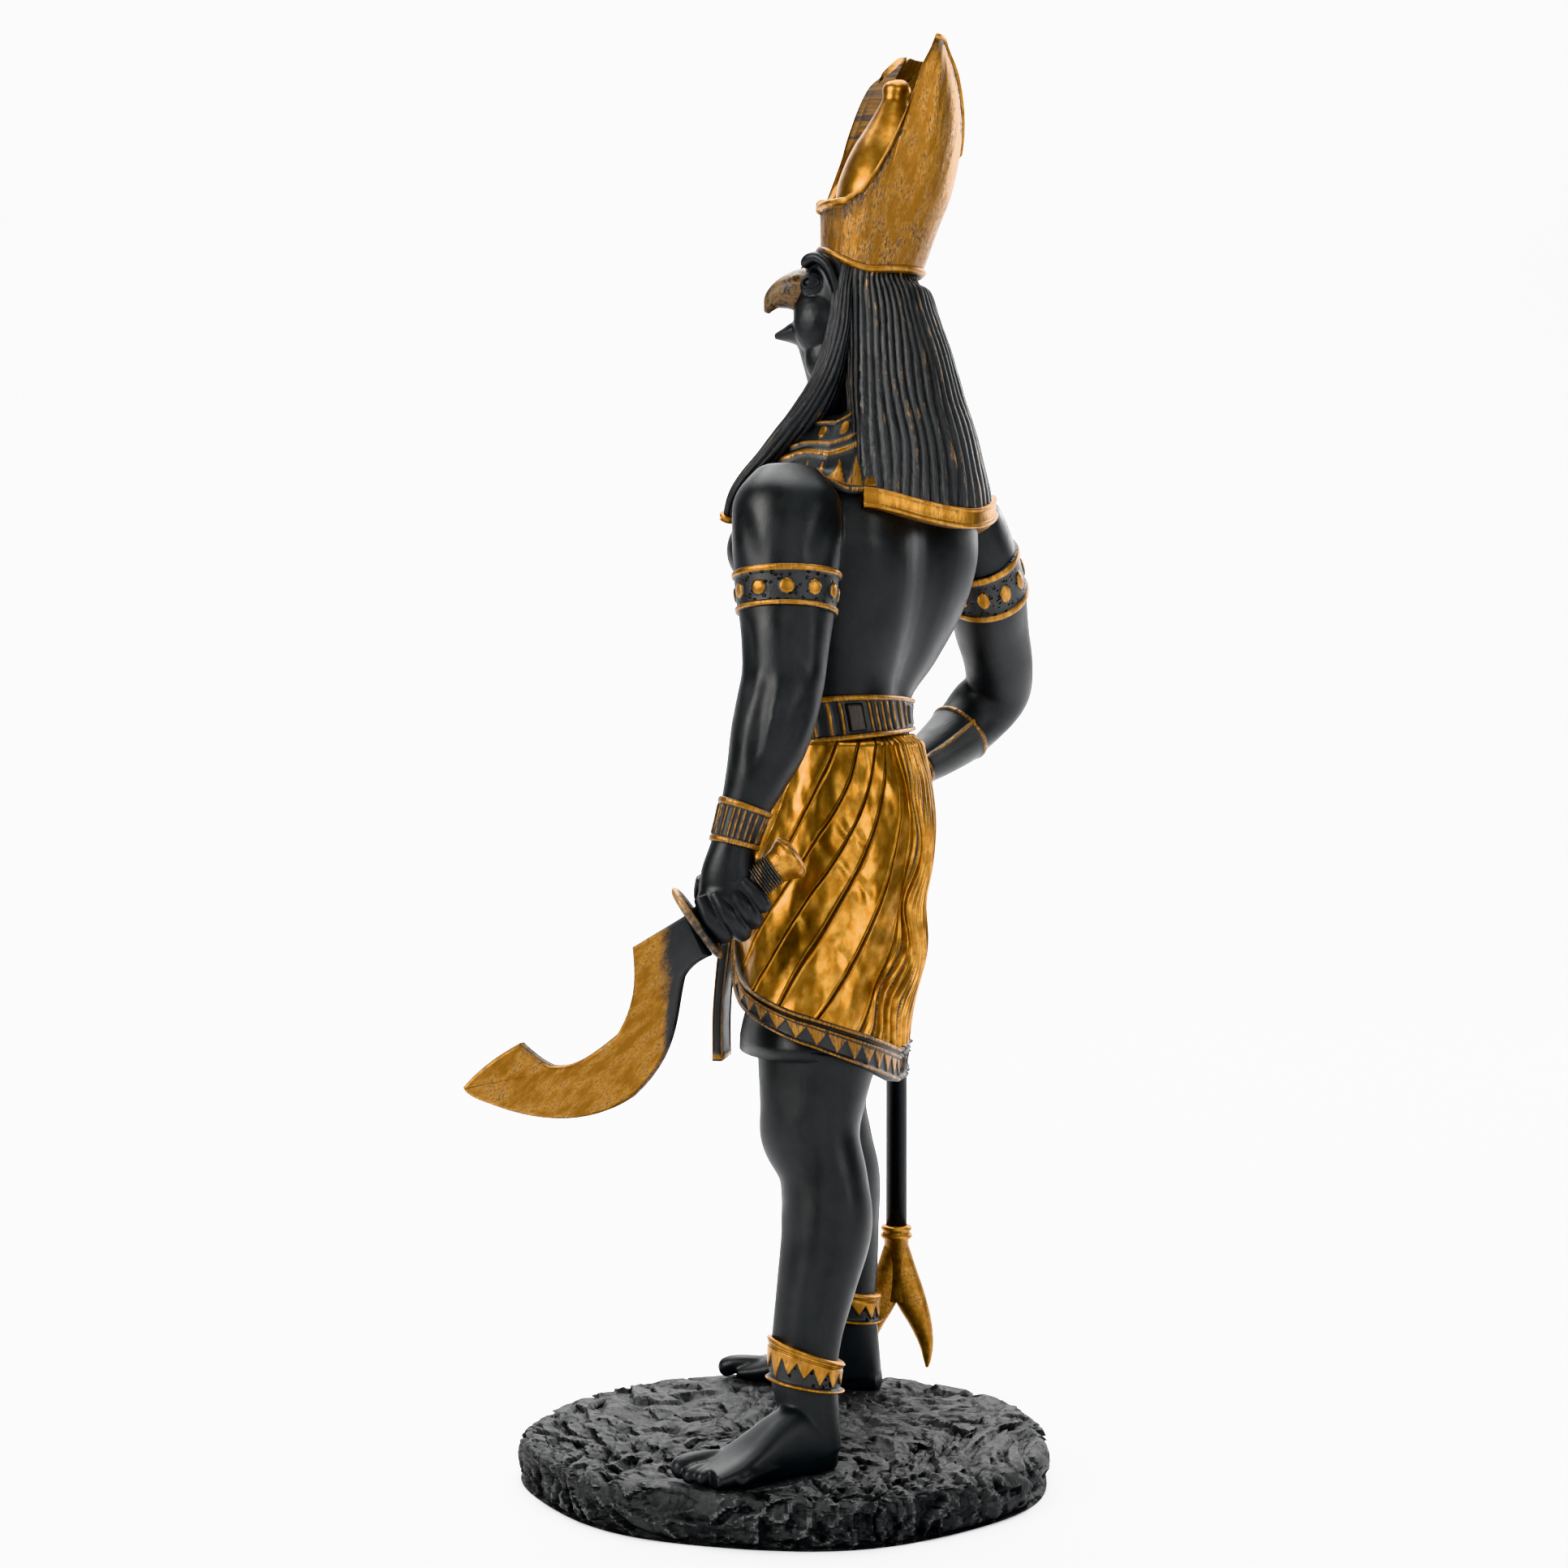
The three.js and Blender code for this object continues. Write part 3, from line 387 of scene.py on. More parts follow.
def new_group(name, inputs, outputs):
    tree = bpy.data.node_groups.new(name, "ShaderNodeTree")
    for label, kind, value in inputs:
        socket = tree.interface.new_socket(label, in_out="INPUT", socket_type=f"NodeSocket{kind}")
        if value is not None:
            socket.default_value = value
    for label, kind in outputs:
        tree.interface.new_socket(label, in_out="OUTPUT", socket_type=f"NodeSocket{kind}")
    given = tree.nodes.new("NodeGroupInput").outputs
    out = tree.nodes.new("NodeGroupOutput").inputs
    return tree, Wiring(tree), given, out


print("wiring ready")

# %% [markdown]
# Antique gold is a metal paint that never covers evenly. Dark patina stays in the hollows and in the streaks
# that the brush leaves, and the metal is brighter where it is rubbed. Two noises of different size, one drawn
# out along the brush, and the height of the carving decide where the patina shows. On the kilt the relief
# also carries painted light, so there the same dark is painted shade in the grooves and fold hollows.

# %% Antique gold paint
ANTIQUE_BRIGHT = (0.40, 0.205, 0.052, 1.0)
ANTIQUE_DEEP = (0.205, 0.095, 0.022, 1.0)
FOIL_BRIGHT = (0.39, 0.208, 0.054, 1.0)
FOIL_DEEP = (0.27, 0.120, 0.024, 1.0)
PATINA_AND_SHADE = (0.026, 0.014, 0.007, 1.0)

gold_paint, w, given, out = new_group(
    "gold_paint",
    [("Vector", "Vector", None), ("Relief", "Float", 0.7), ("Patina", "Float", 0.5),
     ("Bright", "Color", ANTIQUE_BRIGHT),
     ("Deep", "Color", ANTIQUE_DEEP)],
    [("Color", "Color"), ("Cover", "Float"), ("Roughness", "Float"), ("Height", "Float")])
fine = w.grain(given["Vector"], 2.6, 6.0, 0.68)
broad = w.grain(given["Vector"], 0.45, 3.0, 0.6)
# Low relief darkens the paint: real patina, and on the kilt painted shade in its grooves and fold hollows.
hollow = w.maths("SUBTRACT", 0.62, given["Relief"])
patina_and_shade = w.maths("MULTIPLY", hollow, 0.9)
patina_and_shade = w.maths("ADD", patina_and_shade, w.swing(fine, 2.2))
patina_and_shade = w.maths("ADD", patina_and_shade, w.swing(broad, 1.3))
patina_and_shade = w.remap(w.maths("ADD", patina_and_shade, given["Patina"]), 0.35, 1.05)
metal = w.mix(w.remap(broad, 0.35, 0.68), given["Deep"], given["Bright"])
w.feed(out["Color"], w.mix(patina_and_shade, metal, PATINA_AND_SHADE))
w.feed(out["Cover"], w.maths("SUBTRACT", 1.0, patina_and_shade, limit=True))
w.feed(out["Roughness"], w.maths("ADD", w.blend(patina_and_shade, 0.26, 0.55), w.maths("MULTIPLY", fine, 0.12)))
w.feed(out["Height"], w.maths("ADD", w.maths("MULTIPLY", fine, 0.7), w.maths("MULTIPLY", broad, 0.3)))
print("gold_paint has", len(gold_paint.nodes), "nodes")

# %% [markdown]
# Satin black resin is nearly even. A slow change of tone and of gloss, and a very fine skin in the bump, keep
# it from looking like plastic film. A dry brush then leaves bronze on the parts that stand proud.

# %% Satin black and dry brush
BLACK = (0.0045, 0.0054, 0.0060, 1.0)
CHARCOAL = (0.0085, 0.0100, 0.0112, 1.0)
BRONZE = (0.26, 0.150, 0.066, 1.0)

satin_black, w, given, out = new_group(
    "satin_black", [("Vector", "Vector", None)],
    [("Color", "Color"), ("Roughness", "Float"), ("Height", "Float")])
slow = w.grain(given["Vector"], 0.12, 3.0)
pores = w.grain(given["Vector"], 1.9, 5.0, 0.6)
w.feed(out["Color"], w.mix(w.remap(slow, 0.35, 0.65), BLACK, CHARCOAL))
w.feed(out["Roughness"], w.maths("ADD", w.remap(slow, 0.3, 0.7, 0.34, 0.46), w.maths("MULTIPLY", pores, 0.1)))
w.feed(out["Height"], pores)

dry_brush, w, given, out = new_group(
    "dry_brush", [("Vector", "Vector", None), ("Relief", "Float", 0.5), ("Amount", "Float", 0.5)],
    [("Mask", "Float")])
streak = w.grain(given["Vector"], 1.5, 6.0, 0.7)
patch = w.grain(given["Vector"], 0.28, 3.0, 0.55)
proud = w.remap(given["Relief"], 0.45, 1.0)
load = w.maths("ADD", w.swing(streak, 2.4), w.swing(patch, 1.6))
load = w.maths("ADD", load, w.maths("ADD", proud, given["Amount"]))
w.feed(out["Mask"], w.maths("MULTIPLY", w.remap(load, 0.85, 1.55), w.remap(given["Relief"], 0.25, 0.7)))
print("satin_black and dry_brush ready")

# %% [markdown]
# The finishes put these groups together. One is plain black, one black with gilded relief, one bright gold
# and one black hair with bronze brushed over it. Each is a function, so that the same paint can be drier,
# darker or more worn on each piece, as a painter would thin it.

# %% Materials of the figure


def new_material(name):
    material = bpy.data.materials.new(name)
    material.use_nodes = True
    wiring = Wiring(material.node_tree)
    return material, wiring, material.node_tree.nodes["Principled BSDF"].inputs


def bump(wiring, height, strength, distance, normal=None):
    node = wiring.nodes.new("ShaderNodeBump")
    node.inputs["Strength"].default_value = strength
    node.inputs["Distance"].default_value = distance
    wiring.feed(node.inputs["Height"], height)
    if normal:
        wiring.feed(node.inputs["Normal"], normal)
    return node.outputs["Normal"]


def object_place(wiring, scale=(1000.0, 1000.0, 1000.0)):
    return wiring.stretched(wiring.nodes.new("ShaderNodeTexCoord").outputs["Object"], scale)


def black_finish(name, brushed=0.0, tint=BRONZE):
    material, w, shader = new_material(name)
    black = w.group(satin_black, Vector=object_place(w))
    colour = black["Color"]
    if brushed:
        brush = w.group(dry_brush, Vector=object_place(w), Relief=0.8, Amount=brushed)
        colour = w.mix(brush["Mask"], colour, tint)
    w.feed(shader["Base Color"], colour)
    w.feed(shader["Roughness"], black["Roughness"])
    w.feed(shader["Normal"], bump(w, black["Height"], 0.22, 0.00012))
    shader["Specular IOR Level"].default_value = 0.34
    return material


def painted_finish(name, stretch=(1.0, 1.0, 0.22), patina=0.45, pits=0.0):
    """Black ground with gilded relief, from what a loft stores; pits are punched in the ground."""
    material, w, shader = new_material(name)
    flow = w.stretched(w.carved("flow", "Vector"), stretch)
    relief = w.carved("relief")
    gold = w.group(gold_paint, Vector=flow, Relief=relief, Patina=patina)
    black = w.group(satin_black, Vector=object_place(w))
    brush = w.group(dry_brush, Vector=flow, Relief=relief, Amount=0.12)
    edge = w.maths("ADD", w.carved("gilt"), w.swing(gold["Height"], 0.9))
    gilded = w.remap(edge, 0.38, 0.62)
    ground = w.mix(brush["Mask"], black["Color"], BRONZE)
    w.feed(shader["Base Color"], w.mix(gilded, ground, gold["Color"]))
    w.feed(shader["Metallic"], w.maths("MULTIPLY", gilded, w.maths("MULTIPLY", gold["Cover"], 0.95)))
    w.feed(shader["Roughness"], w.blend(gilded, black["Roughness"], gold["Roughness"]))
    normal = bump(w, gold["Height"], 0.45, 0.00025)
    if pits:
        cells = w.nodes.new("ShaderNodeTexVoronoi")
        cells.inputs["Scale"].default_value = 0.85
        w.feed(cells.inputs["Vector"], w.carved("flow", "Vector"))
        dimple = w.remap(cells.outputs["Distance"], 0.12, 0.34)
        normal = bump(w, w.blend(gilded, dimple, 1.0), pits, 0.0009, normal)
    w.feed(shader["Normal"], normal)
    return material


def polished_finish(name):
    """Bright gold: a little patina, and painted shade in the folds where the relief is low."""
    material, w, shader = new_material(name)
    gold = w.group(gold_paint, Vector=w.carved("flow", "Vector"), Relief=w.carved("relief"), Patina=-0.3,
                   Bright=FOIL_BRIGHT, Deep=FOIL_DEEP)
    w.feed(shader["Base Color"], gold["Color"])
    w.feed(shader["Metallic"], gold["Cover"])
    w.feed(shader["Roughness"], gold["Roughness"])
    w.feed(shader["Normal"], bump(w, gold["Height"], 0.16, 0.0002))
    return material


def hair_finish(name, amount):
    """Black hair with bronze brushed over its strands."""
    material, w, shader = new_material(name)
    flow = w.carved("flow", "Vector")
    streaks = w.stretched(flow, (1.5, 1.5, 0.10))
    relief = w.carved("relief")
    brush = w.group(dry_brush, Vector=streaks, Relief=relief, Amount=amount)
    black = w.group(satin_black, Vector=object_place(w))
    hairs = w.grain(w.stretched(flow, (5.0, 5.0, 0.16)), 1.0, 3.0, 0.6)
    w.feed(shader["Base Color"], w.mix(brush["Mask"], black["Color"], BRONZE))
    w.feed(shader["Metallic"], w.maths("MULTIPLY", brush["Mask"], 0.45))
    w.feed(shader["Roughness"], w.blend(brush["Mask"], black["Roughness"], 0.42))
    w.feed(shader["Normal"], bump(w, hairs, 0.5, 0.00035))
    return material


black_skin = black_finish("black_skin")
brushed_black = black_finish("brushed_black", brushed=-0.12)
painted_trim = painted_finish("painted_trim")
dim_trim = painted_finish("dim_trim", patina=0.86)
punched_trim = painted_finish("punched_trim", patina=0.72, pits=1.0)
crown_gold = painted_finish("crown_gold", stretch=(1.3, 1.3, 0.42), patina=0.58)
pommel_gold = painted_finish("pommel_gold", stretch=(1.0, 1.0, 1.0), patina=0.35)
polished_gold = polished_finish("polished_gold")
bronzed_hair = hair_finish("bronzed_hair", -0.12)
beak_bronze = black_finish("beak_bronze", brushed=0.55, tint=(0.115, 0.066, 0.027, 1.0))
blade_gold = painted_finish("blade_gold", stretch=(1.0, 0.9, 0.35), patina=0.42)
bronzed_metal = hair_finish("bronzed_metal", 0.2)
print("finishes:", [m.name for m in bpy.data.materials])

# %% [markdown]
# The rock is matt black with pale grey rubbed on its crests. Cells of two sizes tilt the light like chips of
# broken stone, and the thin lines between them catch some of the grey. This detail is finer than the mesh, so
# it sits in the bump. The base could be carved that finely too, but it would take millions of triangles.

# %% Stone
STONE_BLACK = (0.0040, 0.0046, 0.0050, 1)
STONE_DARK = (0.0105, 0.0118, 0.0126, 1)
STONE_PALE = (0.085, 0.088, 0.090, 1)


def chips(wiring, place, scale):
    """Cells of stone, each a small plane with a tilt of its own, and the thin lines between them."""
    cells, borders = (wiring.nodes.new("ShaderNodeTexVoronoi") for _ in range(2))
    borders.feature = "DISTANCE_TO_EDGE"
    for node in (cells, borders):
        node.inputs["Scale"].default_value = scale
        wiring.feed(node.inputs["Vector"], place)
    lean = wiring.vector("SUBTRACT", cells.outputs["Color"], (0.5, 0.5, 0.5))
    offset = wiring.vector("SUBTRACT", place, cells.outputs["Position"])
    tilted = wiring.vector("DOT_PRODUCT", lean, offset, 1)
    return tilted, wiring.remap(borders.outputs["Distance"], 0.0, 0.07, 1.0, 0.0)


stone, w, shader = new_material("stone")
relief = w.carved("relief")
rough_noise = w.grain(object_place(w), 0.9, 8.0, 0.7)
bend = w.nodes.new("ShaderNodeTexNoise")
bend.inputs["Scale"].default_value = 0.12
w.feed(bend.inputs["Vector"], object_place(w))
warp = w.vector("MULTIPLY", bend.outputs["Color"], (8.0, 8.0, 8.0))
place = w.vector("ADD", object_place(w, (1000.0, 1500.0, 1300.0)), warp)
wide_tilt, wide_line = chips(w, place, 0.19)
small_tilt, small_line = chips(w, place, 0.44)
wide_noise = w.grain(object_place(w), 0.09, 4.0, 0.6)
pale = w.maths("ADD", relief, w.swing(rough_noise, 1.1))
pale = w.maths("ADD", pale, w.swing(wide_noise, 0.5))
pale = w.maths("ADD", pale, w.maths("MULTIPLY", w.maths("MAXIMUM", wide_line, small_line), 0.36))
dusted = w.remap(pale, 0.85, 1.35)
dark = w.mix(w.remap(rough_noise, 0.3, 0.7), STONE_BLACK, STONE_DARK)
w.feed(shader["Base Color"], w.mix(dusted, dark, STONE_PALE))
w.feed(shader["Roughness"], w.blend(dusted, 0.62, 0.85))
normal = bump(w, wide_tilt, 0.55, 0.0009)
normal = bump(w, small_tilt, 0.55, 0.0009, normal)
w.feed(shader["Normal"], bump(w, rough_noise, 0.5, 0.0005, normal))
print("stone has", len(stone.node_tree.nodes), "nodes")

# %% [markdown]
# ## The body
# The trunk turns from the hips to the chest while the head looks ahead, as in the old reliefs. Chest, arms
# and trunk are separate lofts that a remesh blends into one skin. The tables hold the same stations as the
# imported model: place, half width, depth to the front, depth to the back, and turn.

# %% Trunk and arms
CHEST_TURN = 41
TRUNK_POWER = 2.35
TRUNK = [
    [0, 11, 118, 19, 14, 17, 6], [0, 11.5, 132, 21.5, 14.5, 17.5, 8], [0, 12, 144, 19.5, 13.5, 14.3, 12],
    [0, 12, 152, 18.2, 13, 13, 16], [-0.6, 12.4, 160, 18.9, 13.8, 13.4, 24],
    [-1.5, 14.2, 170, 23.4, 16, 16, 32], [-2.2, 16.2, 181, 27, 18.6, 17.6, 38],
    [-2.3, 17.2, 190, 28, 19, 17.6, 41], [-1.6, 18, 198, 26, 16.5, 15.8, 41],
    [-1, 18.6, 204.5, 19, 12.5, 13.4, 39], [-0.4, 18.2, 210.5, 12.5, 10.8, 11.4, 32],
    [0, 16.4, 217, 9.6, 10.6, 9.6, 20], [0, 15, 225, 9.2, 11, 9.4, 10], [0, 14.2, 233, 9.6, 12.4, 10.6, 5],
    [0, 14, 240, 9.6, 12.8, 12, 5], [0, 14.6, 246.5, 9.2, 10.6, 12, 5], [0, 16, 251, 8, 7.6, 10, 5]]
LEFT_ARM = [
    [24.4, 0, 203, 5, 6, 6, 0], [25.6, -0.2, 197, 9, 10.8, 10.6, 0], [27.4, -0.3, 190, 9.6, 11.6, 11.2, 0],
    [29, -0.3, 182, 8.9, 10.7, 10.7, 0], [30.4, -0.3, 174, 8.2, 9.8, 9.9, 0],
    [32, -0.5, 167, 7.8, 8.9, 9, 0], [33.2, -0.9, 160.5, 7.7, 8.4, 8.6, 0],
    [34.8, -2.4, 154, 8, 8.5, 8.3, 0], [36, -4.2, 147, 7.6, 8, 7.8, 0], [37, -6.6, 140, 6.4, 6.4, 6.2, 0],
    [37.8, -8.9, 133.5, 5.1, 4.95, 4.95, 0], [38.5, -10.8, 127, 4.6, 4.6, 4.6, 0],
    [39.1, -11.9, 121, 4.6, 5.6, 5.6, 0], [39.3, -11.7, 115.6, 4.4, 6.2, 6.2, 0]]
RIGHT_ARM = [
    [-23.6, 38, 202, 5, 5, 5, 0], [-25.6, 38.8, 197, 8.4, 8, 8, 0], [-30, 41.7, 190, 9.2, 8.6, 8.6, 0],
    [-37, 44.8, 181, 9.2, 8.9, 8.9, 0], [-44.4, 46.6, 173, 8.8, 8.5, 8.5, 0],
    [-51.4, 48.9, 165.5, 8.4, 8.2, 8.2, 0], [-57, 49.2, 158.6, 8, 8, 8, 0],
    [-57.6, 44.8, 153, 8.2, 8.2, 8.2, 0], [-54, 40, 148.2, 7.4, 6.8, 6.8, 0],
    [-49.4, 34.6, 144.1, 6.2, 5.5, 5.5, 0], [-45.8, 29.8, 141, 5.2, 4.7, 4.7, 0],
    [-42.8, 26, 138.6, 5, 4.7, 4.7, 0]]
RIGHT_ARM_GUIDE = Vector((-0.567, -0.728, 0.387))
LEFT_FURROWS = [((0.42, 0.22), 6.3, 8.7, 0.85), ((-0.75, -0.3), 6.9, 9.4, 0.6),
                ((-0.15, -0.5), 4.4, 6.0, 0.6, 0.25), ((1.1, 0.8), 4.6, 7.2, 0.5),
                ((-1.0, -0.55), 1.6, 3.0, 0.7, 0.25), ((0.9, 0.6), 1.8, 3.0, 0.5)]
LEG_FURROWS = [((0.1, 0.35), 3.2, 5.8, 0.6, 0.22), ((3.05, 2.8), 3.2, 5.8, 0.6, 0.22),
               ((-0.3, -0.5), 7.6, 9.0, 0.5, 0.3)]


def trunk_shape(at, angle):
    """Spine furrow, breastbone, ribs' edge and shoulder blades."""
    from_spine, from_breast = abs(angle - math.pi / 2), abs(angle - 1.5 * math.pi)
    spine = -1.6 * bell(from_spine, 0.17)
    front = -1.3 * bell(from_breast, 0.15)
    blades = 1.1 * bell(from_spine - 0.55, 0.25)
    flank = -0.9 * bell(from_breast - 0.62, 0.16) * smoothstep(at, 3, 4) * (1 - smoothstep(at, 5, 6))
    above_belt, above_waist = smoothstep(at, 2.5, 4), smoothstep(at, 5, 7)
    fade = 1 - smoothstep(at, 8, 10)
    return fade * (above_belt * (spine + front) + above_waist * blades + flank), 0.6, 0.0


def furrow(at, angle, path, start, end, depth, width=0.2):
    """A groove along a limb: path gives its angle at both ends, in radians."""
    share = clamp((at - start) / (end - start))
    off = (angle - path[0] - (path[1] - path[0]) * share + math.pi) % math.tau - math.pi
    fade = smoothstep(at, start - 0.4, start + 0.4) * (1 - smoothstep(at, end - 0.5, end + 0.5))
    return -depth * fade * bell(off, width)


def left_arm_shape(at, angle):
    """Grooves between the muscles; on this arm angle 0 faces outwards and rises toward the front."""
    grooves = sum(furrow(at, angle, *groove) for groove in LEFT_FURROWS)
    return grooves + 0.45 * bell(at - 7.4, 0.7) * bell(angle, 0.2), 0.6, 0.0


def right_arm_shape(at, angle):
    return sum(furrow(at, angle, (turn, turn + 0.2), 4.4, 8.0, 0.6) for turn in (-0.6, 0.5, 2.4)), 0.6, 0.0


bm = bmesh.new()
skin(bm, TRUNK, spread(2, 12, 61), 72, trunk_shape, power=TRUNK_POWER)
ball(bm, (8.2, -2.9, 187), (12.6, 7.6, 9), yaw=-CHEST_TURN)
ball(bm, (-13.4, 9, 187.4), (12.6, 7.4, 8.6), yaw=-CHEST_TURN)
skin(bm, LEFT_ARM, spread(0, 11, 89), 64, left_arm_shape)
skin(bm, RIGHT_ARM, spread(0, 10, 67), 48, right_arm_shape, guide=RIGHT_ARM_GUIDE)
torso = blended(bm, voxel=0.7, smoothing=6)
torso_skin = BVHTree.FromBMesh(torso)
as_piece("skin_torso", torso, black_skin)

# %% [markdown]
# ## Hands
# Each fist is a palm, four curled fingers side by side and a thumb, all drawn round the thing they hold and
# then blended. The fingers follow one path in the plane across the grip.

# %% Hands
LEFT_FIST, LEFT_GRIP = Vector((39.4, -11.5, 116)), Vector((0, 0.819, 0.574))
RIGHT_FIST, RIGHT_GRIP = Vector((-42, 25, 139)), Vector((0, 0, 1))
FINGERS = [(-5.3, 0.4, 5.0, 1.8), (-1.9, 1.6, 6.5, 1.95), (1.6, 2.4, 6.1, 1.85), (4.9, 2.8, 3.8, 1.6)]
THUMB_PATH = [(-1.6, -1.6, -6.0), (-4.0, -3.4, -3.6), (-5.0, -5.2, -0.6), (-4.4, -6.0, 2.2),
              (-3.0, -6.2, 4.0)]
THUMB_RADII = [2.3, 2.2, 2.0, 1.8, 1.2]
FINGER_SHARES = (0.8, 1.0, 0.97, 1.0, 0.95, 0.9, 0.7)
FINGER_SIDES = 20
FOOT_SIDES = 36


def hand(name, centre, grip, out, arm, guide):
    """Back of the hand, four fingers that curl round the grip, and the thumb behind it."""
    knuckles = grip.cross(out)
    spot = lambda along, outward, onward: centre + grip * along + out * outward + knuckles * onward
    bm = bmesh.new()
    skin(bm, arm, spread(len(arm) - 3.3, len(arm) - 1, 12), 40, guide=guide)
    turn = Matrix((grip, out, knuckles)).transposed().to_4x4()
    palm = Matrix.Translation(spot(0, 0.4, -0.6)) @ turn @ Matrix.Diagonal((6.9, 4.4, 5.6, 1))
    bmesh.ops.create_icosphere(bm, subdivisions=4, radius=1.0, matrix=palm)
    for along, knuckle, far, fat in FINGERS:
        path = [(2.9, knuckle - 4.4), (3.75, knuckle - 0.4), (3.5, knuckle + 1.9), (1.2, far),
                (-2.4, far - 0.5), (-4.7, far - 4.2), (-4.4, -2.0)]
        path = [spot(along * (0.86 if k == 0 else 1), *place) for k, place in enumerate(path)]
        tube(bm, path, [fat * share for share in FINGER_SHARES], FINGER_SIDES, grip)
    tube(bm, [spot(*p) for p in THUMB_PATH], THUMB_RADII, FINGER_SIDES, knuckles)
    as_piece(name, blended(bm, voxel=0.3, smoothing=4), black_skin)


hand("hand_left", LEFT_FIST, LEFT_GRIP, Vector((1, 0, 0)), LEFT_ARM, X_AXIS)
hand("hand_right", RIGHT_FIST, RIGHT_GRIP, Vector((-1, 0, 0)), RIGHT_ARM, RIGHT_ARM_GUIDE)

# %% [markdown]
# ## Legs and feet
# A leg is one loft from ankle to thigh. The foot is a loft from heel to ball, and each toe is a short tube
# with a nail set into its tip. The remesh makes one skin of them and leaves the creases between the toes.

# %% Legs and feet
LEFT_LEG = [
    [31.6, 5, 3, 5.4, 6, 6, 24], [31.2, 4, 12, 5.6, 6.4, 6.4, 20], [30.8, 3.4, 19, 5.9, 6.8, 6.6, 16],
    [30, 4.2, 27.5, 6.2, 7, 7, 12], [28.8, 6, 37, 7.4, 7.9, 8, 10], [27.2, 7.8, 48, 8.6, 8.8, 9.4, 10],
    [25.8, 7.4, 57, 8.5, 9.2, 9, 10], [24.6, 5.6, 66, 8.6, 10.4, 9.2, 10], [23, 5.4, 75, 9.8, 11.4, 11, 10],
    [21, 6.4, 86, 11.6, 12.8, 12.8, 10], [18, 8, 102, 12.6, 13.6, 14.4, 8]]
RIGHT_LEG = [
    [-33.6, 15.4, 3, 5.4, 6, 6, -14], [-33.2, 14.2, 12, 5.6, 6.4, 6.4, -10],
    [-32.8, 13.4, 19, 5.9, 6.8, 6.6, -8], [-32, 13.4, 27.5, 6.2, 7, 7, -6],
    [-30.6, 12.6, 37, 7.4, 7.9, 8, -4], [-28.8, 11.6, 48, 8.6, 8.8, 9.2, -2], [-27, 10, 57, 8.5, 9.2, 9, 0],
    [-25.4, 8.4, 66, 8.6, 10.4, 9.2, 0], [-23.6, 8.6, 75, 9.8, 11.2, 11, 2],
    [-21.4, 10, 86, 11.6, 12.6, 12.8, 4], [-18, 11.4, 102, 12.6, 13.6, 14.4, 6]]
FOOT = [(-0.15, 2.4, 4.0), (-0.11, 4.0, 7.2), (-0.04, 4.8, 10), (0.08, 5.1, 12.6), (0.2, 5.2, 13),
        (0.33, 5.5, 11.4), (0.46, 6, 9), (0.56, 6.5, 7.1), (0.66, 6.9, 5.6), (0.76, 7.0, 4.5),
        (0.86, 6.8, 3.6)]
TOE_PATH = [(10, 1.7), (6, 1.6), (2.8, 1.35), (1.0, 0.95), (0, 0.75)]
TOE_SHARES = (0.8, 0.9, 1, 0.95, 0.5)
NAIL_TILT = Matrix.Rotation(math.radians(-28), 4, "X")


def leg_shape(at, angle):
    """Knee cap, shin, grooves beside the calf and one above the knee; angle pi/2 is the back of the leg."""
    front = (angle - 1.5 * math.pi + math.pi) % math.tau - math.pi
    knee = 0.9 * bell(front, 0.5) * bell(at - 7.1, 0.45) - 0.5 * bell(front, 0.7) * bell(at - 6.3, 0.3)
    shin = 0.5 * bell(front - 0.25, 0.3) * smoothstep(at, 1, 2.5) * (1 - smoothstep(at, 5, 6))
    grooves = sum(furrow(at, angle, *groove) for groove in LEG_FURROWS)
    return knee + shin + grooves, 0.6, 0.0


def leg(side_name, rows, heel, toes, side):
    forward = Vector((toes[0] - heel[0], toes[1] - heel[1], 0))
    length = forward.length
    forward.normalize()
    inward = Vector((-forward.y, forward.x, 0)) * side
    heel_point = Vector((heel[0], heel[1], 0))
    facing = forward.to_track_quat("Y", "Z").to_matrix().to_4x4()
    bm = bmesh.new()
    skin(bm, rows, spread(0, 8.72, 93), 56, leg_shape)
    rings = []
    for at in spread(0, len(FOOT) - 1, 31):
        share, half, high = between(FOOT, at)
        middle = heel_point + forward * share * length
        lifts = [high * (0.42 + 0.58 * rounded(math.sin(angle), 2.2)) for angle in turns(FOOT_SIDES)]
        rings.append([middle + inward * half * rounded(math.cos(angle), 2.4) + Z_AXIS * lift
                      for angle, lift in zip(turns(FOOT_SIDES), lifts)])
    loft(bm, rings)
    nails = bmesh.new()
    for i in range(5):
        across = 4.7 if i == 0 else 0.9 - (i - 1) * 2.55
        reach = length + 0.4 - 0.55 * i * i
        fat = 2.2 if i == 0 else 1.72 - 0.06 * i

        def spot(back, z):
            fanned = across * (1 - 0.035 * back)
            return heel_point + forward * (reach - back) + inward * fanned + Z_AXIS * z

        path = [spot(back, fat * share) for back, share in TOE_PATH]
        tube(bm, path, [fat * share for share in TOE_SHARES], FINGER_SIDES, inward)
        place = Matrix.Translation(spot(1.5, fat * 1.72)) @ facing @ NAIL_TILT
        place = place @ Matrix.Diagonal((fat * 0.62, fat * 0.8, 0.42, 1))
        bmesh.ops.create_icosphere(nails, subdivisions=3, radius=1.0, matrix=place)
    clay = blended(bm, voxel=0.42, smoothing=2)
    for vert in clay.verts:
        vert.co.z = max(vert.co.z, 0.0)
    as_piece(f"leg_{side_name}", clay, black_skin)
    as_piece(f"nails_{side_name}", nails, black_skin)


leg("left", LEFT_LEG, (32.4, 5.2), (46.5, -20.5), -1)
leg("right", RIGHT_LEG, (-33.8, 16.2), (-46.4, -13.4), 1)

# %% [markdown]
# ## The head
# A falcon's head on human shoulders: a hooked beak held a little open, a round cheek, an almond eye inside
# a thin rim, and a heavy brow that runs back and down behind the eye.

